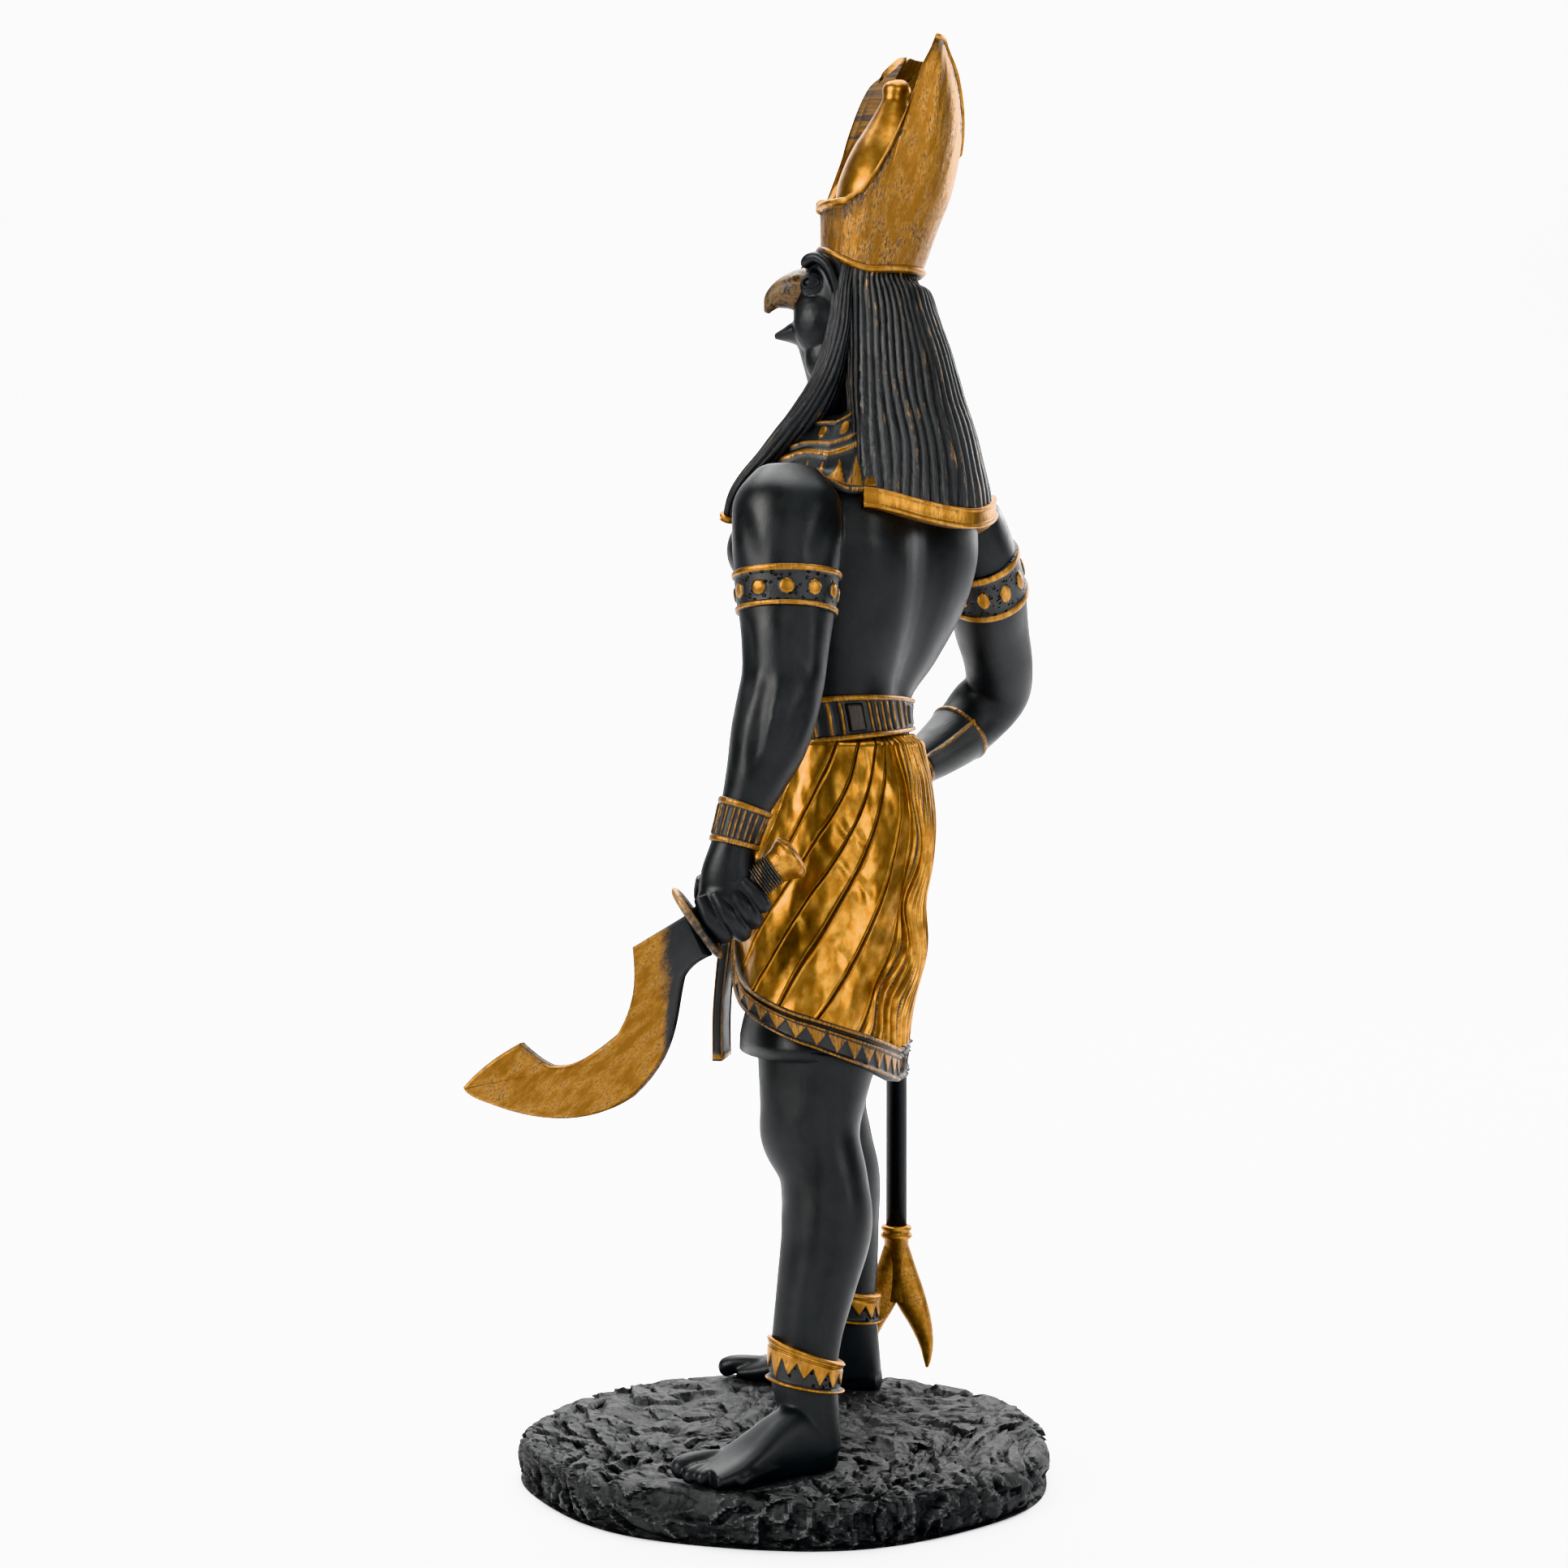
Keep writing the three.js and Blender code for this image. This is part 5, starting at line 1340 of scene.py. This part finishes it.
def thread_angle(start, up):
    """Where a thread of the cloth stands at a share of the way up; it leans to the back as it climbs."""
    for (a, b), (c, d) in zip(LEANING, LEANING[1:]):
        if start <= c:
            top = b + (d - b) * clamp((start - a) / (c - a))
            break
    bend = 1 + 2 * smoothstep(start, -0.4, 0.6)
    snake = 0.085 * bunched(start) * max(0.0, math.cos(start)) ** 0.3
    snake *= math.sin(up * 20 + start * 2) * (1 - up) ** 0.4
    return start + (top - start) * (1 - (1 - up) ** bend) + snake


def thread_look(start, up, angle, height, arc):
    """Height of the cloth and its relief: double lines at the side, gathers at the back.
    The relief paints a highlight on the crests and paints shade in the grooves and gather hollows.
    """
    dents = 0.9 * noise.noise(Vector((math.cos(angle) * 2.5, math.sin(angle) * 2.5, height * 0.082)))
    dents += 0.22 * noise.noise(Vector((math.cos(angle) * 9 + 7, math.sin(angle) * 9, height * 0.26)))
    for turn, level, depth in PINCHES:
        across, down = (angle - turn) * 26, level - height
        dents -= depth * bell((across - down) * 0.707, 0.8) * bell((across + down) * 0.707, 3.0)
    away = min(abs(start - line) for line in LINES) * arc
    crest = bell(away - 0.42, 0.17)
    groove = bell(away, 0.2)
    soft = bunched(start)
    wave = (0.5 + 0.5 * math.cos(math.tau * (start * GATHERS + 0.25))) ** 1.5
    uneven = 0.75 + 0.5 * noise.noise(Vector((start * 8, height * 0.05, 3.0)))
    deep = (0.7 + 1.5 * smoothstep(1 - up, 0.2, 0.6)) * uneven
    swell = 1.0 * bell(height - 101, 6.5) - 0.9 * bell(height - 113, 5.5) + 0.5 * bell(height - 130, 7)
    smooth_cloth = dents + 0.34 * crest - 0.4 * groove
    gathered_cloth = 1.0 + swell + deep * (wave - 1)
    grow = 0.55 + (1 - soft) * smooth_cloth + soft * gathered_cloth
    grow -= 1.9 * smoothstep(height, 146.6, 148.4)
    # Painted light: the relief rises on the crests for a painted highlight and sinks in the grooves and gather
    # hollows for painted shade.
    relief = (1 - soft) * (0.66 + 0.3 * crest - 2.2 * groove) + soft * (1.7 * wave - 0.9)
    return max(-1.1, grow), relief


def thread_starts():
    """Angles at the hem, closest at the lines and in the gathers; the far side mirrors the near one."""
    near = spread(-math.pi / 2, 0.5, 150) + spread(0.505, math.pi / 2, 150)
    for line in LINES:
        arc = arc_rate(line)
        near += [line + offset / arc for offset in LINE_OFFSETS]
    near.sort()
    return [(start, 1) for start in near] + [(start, -1) for start in reversed(near[1:-1])]


def arc_rate(start):
    """Millimetres along the hem for each radian."""
    low, high = cloth_spot(86, start - 0.02, 0), cloth_spot(86, start + 0.02, 0)
    return (high - low).length / 0.04


THREADS = [(start, side, arc_rate(start)) for start, side in thread_starts()]


def to_side(angle, side):
    return angle if side > 0 else math.pi - angle


def cloth_ring(up, low_share, high, look):
    """A ring of the cloth: up is the share of the way from the hem band to high."""
    ring, mark = [], []
    for start, side, arc in THREADS:
        angle = thread_angle(start, clamp(up))
        low = kilt_hem(angle) + hem_height(angle) * low_share
        height = low + (high - low) * up
        grow, relief = look(start, up, angle, height, arc)
        turned_angle = to_side(angle, side)
        ring.append(cloth_spot(height, turned_angle, grow))
        mark.append((relief, 1.0, around(KILT_GIRTH, turned_angle, height)))
    return ring, mark


cloth = [cloth_ring(up, 0.9, KILT_WAIST, thread_look) for up in spread(0.0, 1.0, 96)]
cloth += [cloth_ring(1.0, 0.9, KILT_WAIST, lambda *place: (-2.2, 0.3))]
cloth += [cloth_ring(up, 0.5, KILT_WAIST - 0.5, lambda *place: (-1.5, 0.3)) for up in spread(1.0, 0.0, 10)]
cloth += [cloth[0]]
bm = bmesh.new()
loft(bm, [ring for ring, _ in cloth], [mark for _, mark in cloth], close=False)
bmesh.ops.remove_doubles(bm, verts=bm.verts, dist=0.0002)
as_piece("kilt", bm, polished_gold)

# %% [markdown]
# The hem is a band of its own: a thin rim below, a row of gold points that hang from a double rim above. The
# points keep their width all round because they are counted along the length of the hem, not by the angle.

# %% Hem of the kilt
HEM_SIDES = 900
HEM_POINTS = 42
hem_ring = [cloth_spot(84, math.tau * i / HEM_SIDES, 0.0) for i in range(HEM_SIDES + 1)]
hem_lengths = [0.0]
for here, after in zip(hem_ring, hem_ring[1:]):
    hem_lengths.append(hem_lengths[-1] + (after - here).length)


def hem_look(i, u):
    """Relief and gilding of the band at a column and a share of its height."""
    angle = math.tau * i / HEM_SIDES
    phase = hem_lengths[i] / hem_lengths[-1] * HEM_POINTS
    lower = bell(u - 0.07, 0.055)
    upper = max(bell(u - 0.72, 0.055), bell(u - 0.92, 0.07))
    off = abs(phase % 1.0 - 0.5) * 2
    share = clamp((u - 0.14) / 0.5)
    teeth = smoothstep(share - off, -0.05, 0.08) * smoothstep(u, 0.12, 0.16) * (1 - smoothstep(u, 0.62, 0.66))
    crumple = smoothstep(math.sin(angle), 0.93, 0.99)
    wrinkle = crumple * noise.noise(Vector((angle * 26, u * 3, 1.0)))
    rise = 0.95 + 0.75 * max(lower, upper) + 0.32 * teeth + 0.8 * wrinkle
    return rise, max(lower, upper, teeth) * (1 - 0.5 * crumple)


rings, marks = [], []
for u, inner in [(0.0, True)] + [(u, False) for u in spread(0.0, 1.0, 40)] + [(1.0, True), (0.0, True)]:
    ring, mark = [], []
    for i, angle in enumerate(turns(HEM_SIDES)):
        rise, gilt = (-1.8, 0.0) if inner else hem_look(i, u)
        ring.append(cloth_spot(kilt_hem(angle) + hem_height(angle) * u, angle, rise))
        mark.append((0.2 + 0.7 * gilt, gilt, around(KILT_GIRTH, angle, ring[-1].z)))
    rings.append(ring)
    marks.append(mark)
bm = bmesh.new()
loft(bm, rings, marks, close=False)
bmesh.ops.remove_doubles(bm, verts=bm.verts, dist=0.0002)
as_piece("kilt_hem", bm, dim_trim)

# %% [markdown]
# Under the gold cloth is a plain black one, which closes the space between the thighs and shows a little
# below the hem. In front hangs a narrow apron, a flat loft with gilded corners and foot.

# %% Under-kilt and apron


def under_kilt_spot(height, angle):
    """Under the cloth, but flush with the thigh where it shows below the hem."""
    flare = (1 - smoothstep(height, 84, 93)) * (1 - smoothstep(from_front(angle), 1.8, 2.2))
    return cloth_spot(height, angle, -2.5 + 1.6 * flare)


bm = bmesh.new()
loft(bm, [[under_kilt_spot(height, angle) for angle in turns(120)]
          for height in spread(82.5, KILT_WAIST - 4, 24)])
as_piece("under_kilt", bm, black_skin)

APRON = [[-1.4, -14.2, 79, 5.8, 1, 1, 8], [-1.4, -14, 92, 5.8, 1, 1, 8], [-1.2, -11.6, 112, 5, 1.2, 1.2, 8],
         [-1, -6.8, 132, 4.4, 1.2, 1.2, 8], [-1, -2.4, 148.6, 4, 1.2, 2.6, 8]]


def apron_look(at, angle):
    edge = bell(abs(math.cos(angle)) - 0.86, 0.06)
    foot = bell(at - 0.12, 0.08)
    return 0.45 * max(edge, foot), 0.4 + 0.6 * max(edge, foot), max(edge, foot)


bm = bmesh.new()
skin(bm, APRON, spread(0, 4, 90), 96, apron_look, power=5)
as_piece("apron", bm, dim_trim)

# %% [markdown]
# ## The sickle sword
# The blade is drawn as a flat outline of curves, thickened, and its face is raised inside a sloping edge. The
# grip is turned: rings, and a pommel that flares.

# %% Sickle sword
FIST_HALF = 0.52 * 13.2
GUARD_HALVES = (6, 8.5, 1)
BLADE_THICKNESS = 1.5


def bezier(start, control_a, control_b, end, count=14):
    points = []
    for t in spread(0, 1, count)[1:]:
        a, b, c, d = (1 - t) ** 3, 3 * t * (1 - t) ** 2, 3 * t * t * (1 - t), t ** 3
        corners = zip(start, control_a, control_b, end)
        points.append(tuple(a * p + b * q + c * r + d * s for p, q, r, s in corners))
    return points


def bow(start, control, end, count=10):
    a = tuple(s + 2 / 3 * (c - s) for s, c in zip(start, control))
    b = tuple(e + 2 / 3 * (c - e) for e, c in zip(end, control))
    return bezier(start, a, b, end, count)


outline = [(-9.4, -1.8), (-20.8, -8.7)]
outline += bezier(outline[-1], (-20.2, -14.6), (-20, -19.6), (-23.8, -26))
outline += bezier(outline[-1], (-28.4, -29.8), (-32.4, -33), (-37, -32.3))
outline += bow(outline[-1], (-39.4, -31.4), (-43.2, -27.8))
outline += bow(outline[-1], (-50.6, -31.8), (-54.6, -36.7))
outline += bow(outline[-1], (-54.4, -38.4), (-49.2, -40.1))
outline += bezier(outline[-1], (-40.4, -43.6), (-29.8, -44.8), (-21.1, -38.8))
outline += bezier(outline[-1], (-11.6, -30.2), (-12.6, -22), (-10.8, -14.7))
outline += bow(outline[-1], (-9.4, -12), (-5.4, -10.4))

bm = bmesh.new()
relief, gilt, flow = carving_layers(bm)
drawn = bmesh.ops.create_circle(bm, segments=len(outline), radius=1.0)["verts"]
BLADE_PLACE = LEFT_FIST + Vector((0, 0.9, -0.8))
for vert, (y, z) in zip(drawn, outline):
    vert.co = BLADE_PLACE + Vector((-BLADE_THICKNESS / 2, y, z))
flat = bmesh.ops.edgeloop_fill(bm, edges=bm.edges)["faces"]
grown = bmesh.ops.extrude_face_region(bm, geom=flat)["geom"]
grown_verts = [part for part in grown if isinstance(part, bmesh.types.BMVert)]
bmesh.ops.translate(bm, verts=grown_verts, vec=(BLADE_THICKNESS, 0, 0))
bmesh.ops.recalc_face_normals(bm, faces=bm.faces)
sides = [f for f in bm.faces if len(f.verts) > 4]
bmesh.ops.inset_region(bm, faces=sides, thickness=0.3, depth=0.45, use_even_offset=True)
bmesh.ops.inset_region(bm, faces=sides, thickness=0.45, depth=0.3, use_even_offset=True)
for vert in bm.verts:
    place = vert.co - BLADE_PLACE
    from_guard = smoothstep(-place.y, 10, 19)
    vert[relief], vert[gilt] = 0.1 + 0.5 * smoothstep(abs(place.x), 0.8, 1.4), 0.1 + 0.9 * from_guard
    vert[flow] = (place.x, place.z - place.y, place.y + place.z)
    vert.co.y += 0.4 * (1.5 - place.x)
as_piece("khopesh_blade", bm, blade_gold, node="khopesh").data.shade_flat()


def turned(bm, profile, place, direction, sides=64, mark=None):
    """A form turned about a direction, from radius and height pairs."""
    basis = direction.to_track_quat("Z", "Y").to_matrix()
    rings, marks = [], []
    for k, (radius, along) in enumerate(profile):
        rings.append([place + basis @ Vector(around(max(radius, 0.02), angle, along))
                      for angle in turns(sides)])
        marks.append([((mark[k] if mark else 0.6), 1.0, tuple(spot)) for spot in rings[-1]])
    return loft(bm, rings, marks)


bm = bmesh.new()
turned(bm, [(0, -0.9), (0.8, -1.0), (0.92, -0.8), (1.0, -0.3), (1.0, 0.3), (0.92, 0.8), (0.8, 1.0), (0, 0.9)],
       Vector(), Z_AXIS, 96, [0.2, 0.4, 0.9, 1.0, 1.0, 0.9, 0.4, 0.2])
across_grip = LEFT_GRIP.cross(X_AXIS)
guard_turn = Matrix((X_AXIS, across_grip, LEFT_GRIP)).transposed().to_4x4()
guard_place = Matrix.Translation(LEFT_FIST - LEFT_GRIP * (FIST_HALF + 0.3 + 1))
shape = guard_place @ guard_turn @ Matrix.Diagonal((*GUARD_HALVES, 1))
bmesh.ops.transform(bm, matrix=shape, verts=bm.verts)
as_piece("khopesh_guard", bm, bronzed_metal, node="khopesh")

bm = bmesh.new()
grip_profile = [(0, -FIST_HALF - 2), (2.9, -FIST_HALF - 2), (3.2, FIST_HALF - 0.6)]
grip_marks = [0.3, 0.3, 0.3]
for k in range(8):
    start, radius = FIST_HALF - 0.5 + k * 0.56, 3.8 - 0.05 * k
    grip_profile += [(radius - 0.55, start), (radius - 0.1, start + 0.12), (radius, start + 0.26),
                     (radius - 0.1, start + 0.4)]
    grip_marks += [0.0, 0.6, 1.0, 0.6]
grip_profile += [(2.9, FIST_HALF + 4.1), (0, FIST_HALF + 4.1)]
turned(bm, grip_profile, LEFT_FIST, LEFT_GRIP, 64, grip_marks + [0.2, 0.1])
as_piece("khopesh_grip", bm, bronzed_metal, node="khopesh")

bm = bmesh.new()
POMMEL = [(0, 3.7), (2.9, 3.7), (3.35, 3.95), (3.45, 4.5), (3.65, 5.4), (4.1, 6.2), (4.5, 7.0), (4.62, 7.6),
          (4.5, 8.2), (4.2, 8.7), (3.7, 9.05), (3.0, 9.25), (2.2, 9.35), (1.5, 9.4), (0.8, 9.4), (0, 9.4)]
turned(bm, [(r, FIST_HALF + a) for r, a in POMMEL], LEFT_FIST, LEFT_GRIP, 72,
       [0.2, 0.2, 0.3, 0.5, 0.7, 0.8, 0.9, 1.0, 1.0, 1.0, 0.9, 0.8, 0.6, 0.5, 0.5, 0.5])
relief, gilt, flow = carving_layers(bm)
for vert in bm.verts:
    place = vert.co - LEFT_FIST
    on_end = smoothstep(place.dot(LEFT_GRIP) - FIST_HALF, 7.4, 9.0)
    cut = on_end * bell(place.x - 1.2 + 0.8 * math.sin(place.dot(across_grip) * 0.8), 0.9)
    vert.co -= LEFT_GRIP * 1.3 * cut
    vert[relief] -= 0.9 * cut
as_piece("khopesh_pommel", bm, pommel_gold, node="khopesh")

# %% [markdown]
# ## The forked sceptre
# A black staff stands on the base and passes through the right fist. At its foot a gold socket splits into
# two curved tines, and a small beast's head with tall ears looks forward from its top.

# %% Sceptre
STAFF_RADIUS = 2.4
STAFF_TOP = 205.7
TIP_HEIGHT = 2.3
FORK_HEIGHT = 30
FORK_HALF = 8.5
SOCKET_TOP = TIP_HEIGHT + FORK_HEIGHT
STAFF_FOOT = Vector((RIGHT_FIST.x, RIGHT_FIST.y, 0))

bm = bmesh.new()
shaft = [(0, SOCKET_TOP - 1), (STAFF_RADIUS, SOCKET_TOP - 1), (STAFF_RADIUS, STAFF_TOP - 3),
         (2.9, STAFF_TOP - 2.6), (3.1, STAFF_TOP - 1.8), (2.9, STAFF_TOP - 1),
         (STAFF_RADIUS, STAFF_TOP - 0.8), (STAFF_RADIUS, STAFF_TOP + 3), (0, STAFF_TOP + 3)]
turned(bm, shaft, STAFF_FOOT, Z_AXIS, 48)
as_piece("sceptre_shaft", bm, black_skin, node="was_sceptre")

bm = bmesh.new()
socket = [(0, TIP_HEIGHT + 0.5 * FORK_HEIGHT), (2.7, TIP_HEIGHT + 0.52 * FORK_HEIGHT),
          (2.85, SOCKET_TOP - 0.2), (3.4, SOCKET_TOP), (3.7, SOCKET_TOP + 0.5), (3.5, SOCKET_TOP + 1.0),
          (3.0, SOCKET_TOP + 1.4), (3.4, SOCKET_TOP + 1.8), (3.6, SOCKET_TOP + 2.3),
          (3.3, SOCKET_TOP + 2.8), (2.5, SOCKET_TOP + 3.0), (0, SOCKET_TOP + 3.0)]
turned(bm, socket, STAFF_FOOT, Z_AXIS, 64, [0.5, 0.5, 0.6, 0.9, 1.0, 0.9, 0.3, 0.9, 1.0, 0.8, 0.4, 0.3])
TINE = [(0, 0.92, 3), (0.14, 0.74, 3.5), (0.38, 0.54, 3.5), (0.64, 0.36, 2.7), (0.8, 0.2, 1.8),
        (0.84, 0.07, 1), (0.83, 0, 0.35)]
for side in (1, -1):
    rows = [[STAFF_FOOT.x, STAFF_FOOT.y + side * out * FORK_HALF, TIP_HEIGHT + up * FORK_HEIGHT,
             min(thick, 2.6), thick, thick, 0] for out, up, thick in TINE]
    skin(bm, rows, spread(0, 6, 49), 40, lambda at, angle: (0.0, 0.55, 1.0))
as_piece("sceptre_fork", bm, pommel_gold, node="was_sceptre")

bm = bmesh.new()
MUZZLE = [(0, 1, 0, 2.5, 2.4), (0, 0, 6, 2.9, 3), (0, -3.6, 9.6, 3, 3.1), (0, -8.4, 9.8, 2.2, 2.3),
          (0, -12.6, 7.6, 1.6, 1.6), (0, -14.6, 5.4, 0.9, 0.9)]
EAR = [(1.3, 0.4, 8, 1.2, 0.9), (1.8, 2.4, 12.6, 1.3, 0.9), (2, 4.2, 17, 0.4, 0.4)]
HEAD_PLACE = STAFF_FOOT + Z_AXIS * STAFF_TOP
rows = [[HEAD_PLACE.x + x, HEAD_PLACE.y + y, HEAD_PLACE.z + z, w, d, d, 0] for x, y, z, w, d in MUZZLE]
skin(bm, rows, spread(0, 5, 51), 40)
for side in (1, -1):
    rows = [[HEAD_PLACE.x + side * x, HEAD_PLACE.y + y, HEAD_PLACE.z + z, w, d, d, 0]
            for x, y, z, w, d in EAR]
    skin(bm, rows, spread(0, 2, 25), 24)
    ball(bm, (HEAD_PLACE.x + side * 2.4, HEAD_PLACE.y - 4.6, HEAD_PLACE.z + 10.6), (0.8, 1.1, 0.7))
head = blended(bm, voxel=0.3, smoothing=3)
as_piece("sceptre_head", head, brushed_black, node="was_sceptre")

# %% [markdown]
# ## The rock base
# The base is one loft from the middle of its underside over the side to the middle of its top. A cell noise
# chips it: each cell is a small plane with a tilt of its own, as where stone breaks, and the cells are drawn
# out and bent so that they flow. The places under the feet stay level. The paint reads how proud each point
# stands and leaves pale grey on the crests.

# %% Rock base
BASE_HALF_LENGTH, BASE_HALF_WIDTH, BASE_TOP = 57.5, 54.0, 10.0
SOLES = [((32.4, 5.2), (46.5, -20.5)), ((-33.8, 16.2), (-46.4, -13.4))]


def sole_distance(x, y):
    """How far a point of the top is from the nearest sole, in millimetres."""
    nearest = 99.0
    for heel, toes in SOLES:
        a, b = Vector((heel[0] - 2, heel[1])), Vector((toes[0] - 2, toes[1]))
        t = clamp((Vector((x, y)) - a).dot(b - a) / (b - a).length_squared)
        nearest = min(nearest, (Vector((x, y)) - a.lerp(b, t)).length)
    return nearest


def three_noises(place):
    """A vector of three noises that don't depend on each other."""
    return Vector([noise.noise(place + Vector((19.1, 7.3, 3.7)) * k) for k in range(3)])


def facets(place, size, tilt):
    """Chipped stone: each cell is a small plane with a tilt of its own."""
    cell = noise.voronoi(place / size)[1][0]
    lean = three_noises(cell * 7.31 + Vector((1.3, 2.7, 0.4)))
    return lean.dot(place / size - cell) * size * tilt


def rock_height(x, y, z):
    """Height of the surface at a point: flowing chips, smaller chips and grain."""
    warp = three_noises(Vector((x * 0.028, y * 0.028, z * 0.05 + 2.0))) * 16
    place = Vector((x + warp.x, (y + warp.y) * 1.7, z * 1.3))
    large = facets(place, 8.0, 0.8)
    small = facets(place + Vector((31, 17, 5)), 3.4, 0.85)
    grain = noise.noise(Vector((x * 0.9, y * 0.9, z * 1.1)))
    return clamp(large, -1.7, 1.2) * 0.8 + clamp(small, -1.0, 0.8) * 0.6 + 0.10 * grain


ROCK_SIDES = 480
ROCK_PROFILE = [(0.0, 0.0), (0.5, 0.0), (0.955, 0.0), (0.972, 0.04), (0.985, 0.14), (0.992, 0.3),
                (0.997, 0.5), (0.993, 0.7), (0.982, 0.85), (0.962, 0.955), (0.94, 1.0), (0.9, 1.0),
                (0.75, 1.0), (0.6, 1.0), (0.45, 1.0), (0.3, 1.0), (0.15, 1.0), (0.02, 1.0)]
rings, rises, marks = [], [], []
for at in [0, 1, 2] + spread(2.2, 10, 44) + spread(10.12, len(ROCK_PROFILE) - 1, 140):
    reach, height = between(ROCK_PROFILE, at)
    reach, height = clamp(reach, 0.004), clamp(height)
    ring, mark = [], []
    for angle in turns(ROCK_SIDES):
        swell = 1 + 0.012 * math.sin(3 * angle + 1) + 0.01 * math.sin(7 * angle) - 0.016
        x = BASE_HALF_WIDTH * swell * reach * math.cos(angle)
        y = BASE_HALF_LENGTH * swell * reach * math.sin(angle)
        z = BASE_TOP * height
        rise = rock_height(x, y, z)
        on_top, on_side = smoothstep(height, 0.88, 1.0), smoothstep(height, 0.0, 0.12)
        level = smoothstep(sole_distance(x, y), 6.5, 9.5)
        drop = clamp(0.42 - (0.6 if rise > 0 else 0.95) * rise, 0.0, 2.0) * on_top * level
        push = min(0.5, 1.1 * rise - 0.4) * on_side * (1 - 0.6 * on_top)
        ring.append(Vector((x, y, clamp(z - drop, 0, BASE_TOP))) + Vector(around(1, angle, 0)) * push)
        mark.append(rise)
    rings.append(ring)
    rises.append(mark)
for k, ring in enumerate(rings):
    inner, outer = rises[max(k - 2, 0)], rises[min(k + 2, len(rings) - 1)]
    edges = [rises[k][i] - (inner[i] + outer[i] + rises[k][i - 2] + rises[k][(i + 2) % ROCK_SIDES]) / 4
             for i in range(ROCK_SIDES)]
    marks.append([(clamp(0.38 + 1.5 * edge), 0.0, tuple(spot)) for edge, spot in zip(edges, ring)])
bm = bmesh.new()
loft(bm, rings, marks)
rock = as_piece("rock_base", bm, stone, node="rock_base", matrix=BASE_TO_METRES)
rock.data.set_sharp_from_angle(angle=math.radians(24))

# %% [markdown]
# ## Floor, light and finish
# A pale floor curves up behind the figure. The key light is large and soft, from the left and above. Weaker
# ones stand in front, on the right and overhead, one behind draws the edges, and one lights the backdrop.
# The world stays dim, because the gold needs dark surroundings to mirror.

# %% Floor and light
bm = bmesh.new()
bends = [(-1.6, 2.2), (-1.6, 0.5), (-1.52, 0.22), (-1.32, 0.05), (-1.1, 0.0), (0.0, 0.0), (1.6, 0.0)]
bmesh.ops.create_grid(bm, x_segments=len(bends) - 1, y_segments=1, size=1.0)
for k, vert in enumerate(bm.verts):
    x, z = bends[k % len(bends)]
    vert.co = Vector((x, 3.0 if k >= len(bends) else -3.0, z))
floor_mesh = bpy.data.meshes.new("floor")
bm.to_mesh(floor_mesh)
bm.free()
floor_mesh.shade_smooth()
floor_paint, w, shader = new_material("floor_paint")
shader["Base Color"].default_value = (0.80, 0.80, 0.81, 1)
shader["Roughness"].default_value = 0.6
floor_mesh.materials.append(floor_paint)
floor = bpy.data.objects.new("floor", floor_mesh)
scene.collection.objects.link(floor)


def area_light(name, place, target, size, power, colour=(1, 1, 1)):
    light = bpy.data.lights.new(name, "AREA")
    light.shape = "RECTANGLE"
    light.size, light.size_y = size, size
    light.energy = power
    light.color = colour
    lamp = bpy.data.objects.new(name, light)
    lamp.location = place
    lamp.rotation_euler = (Vector(target) - Vector(place)).to_track_quat("-Z", "Y").to_euler()
    scene.collection.objects.link(lamp)


area_light("key", (0.70, -1.0, 0.70), (0, 0, 0.17), 0.6, 19.0, (1.0, 0.985, 0.96))
area_light("front", (1.3, 0.25, 0.55), (0, 0, 0.15), 0.7, 5.5)
area_light("fill", (0.75, 0.95, 0.45), (0, 0, 0.15), 0.45, 5.0)
area_light("top", (0.1, 0.1, 1.2), (0, 0, 0.1), 0.7, 7.0)
area_light("rim", (-0.7, 0.75, 0.5), (0, 0, 0.2), 0.45, 7.0)
area_light("backdrop", (-0.9, 0.0, 1.6), (-1.5, 0, 0.2), 1.6, 75.0)
world = bpy.data.worlds.new("world")
world.use_nodes = True
world.node_tree.nodes["Background"].inputs["Color"].default_value = (0.86, 0.82, 0.78, 1)
world.node_tree.nodes["Background"].inputs["Strength"].default_value = 0.2
scene.world = world
scene.view_settings.view_transform = "Khronos PBR Neutral"
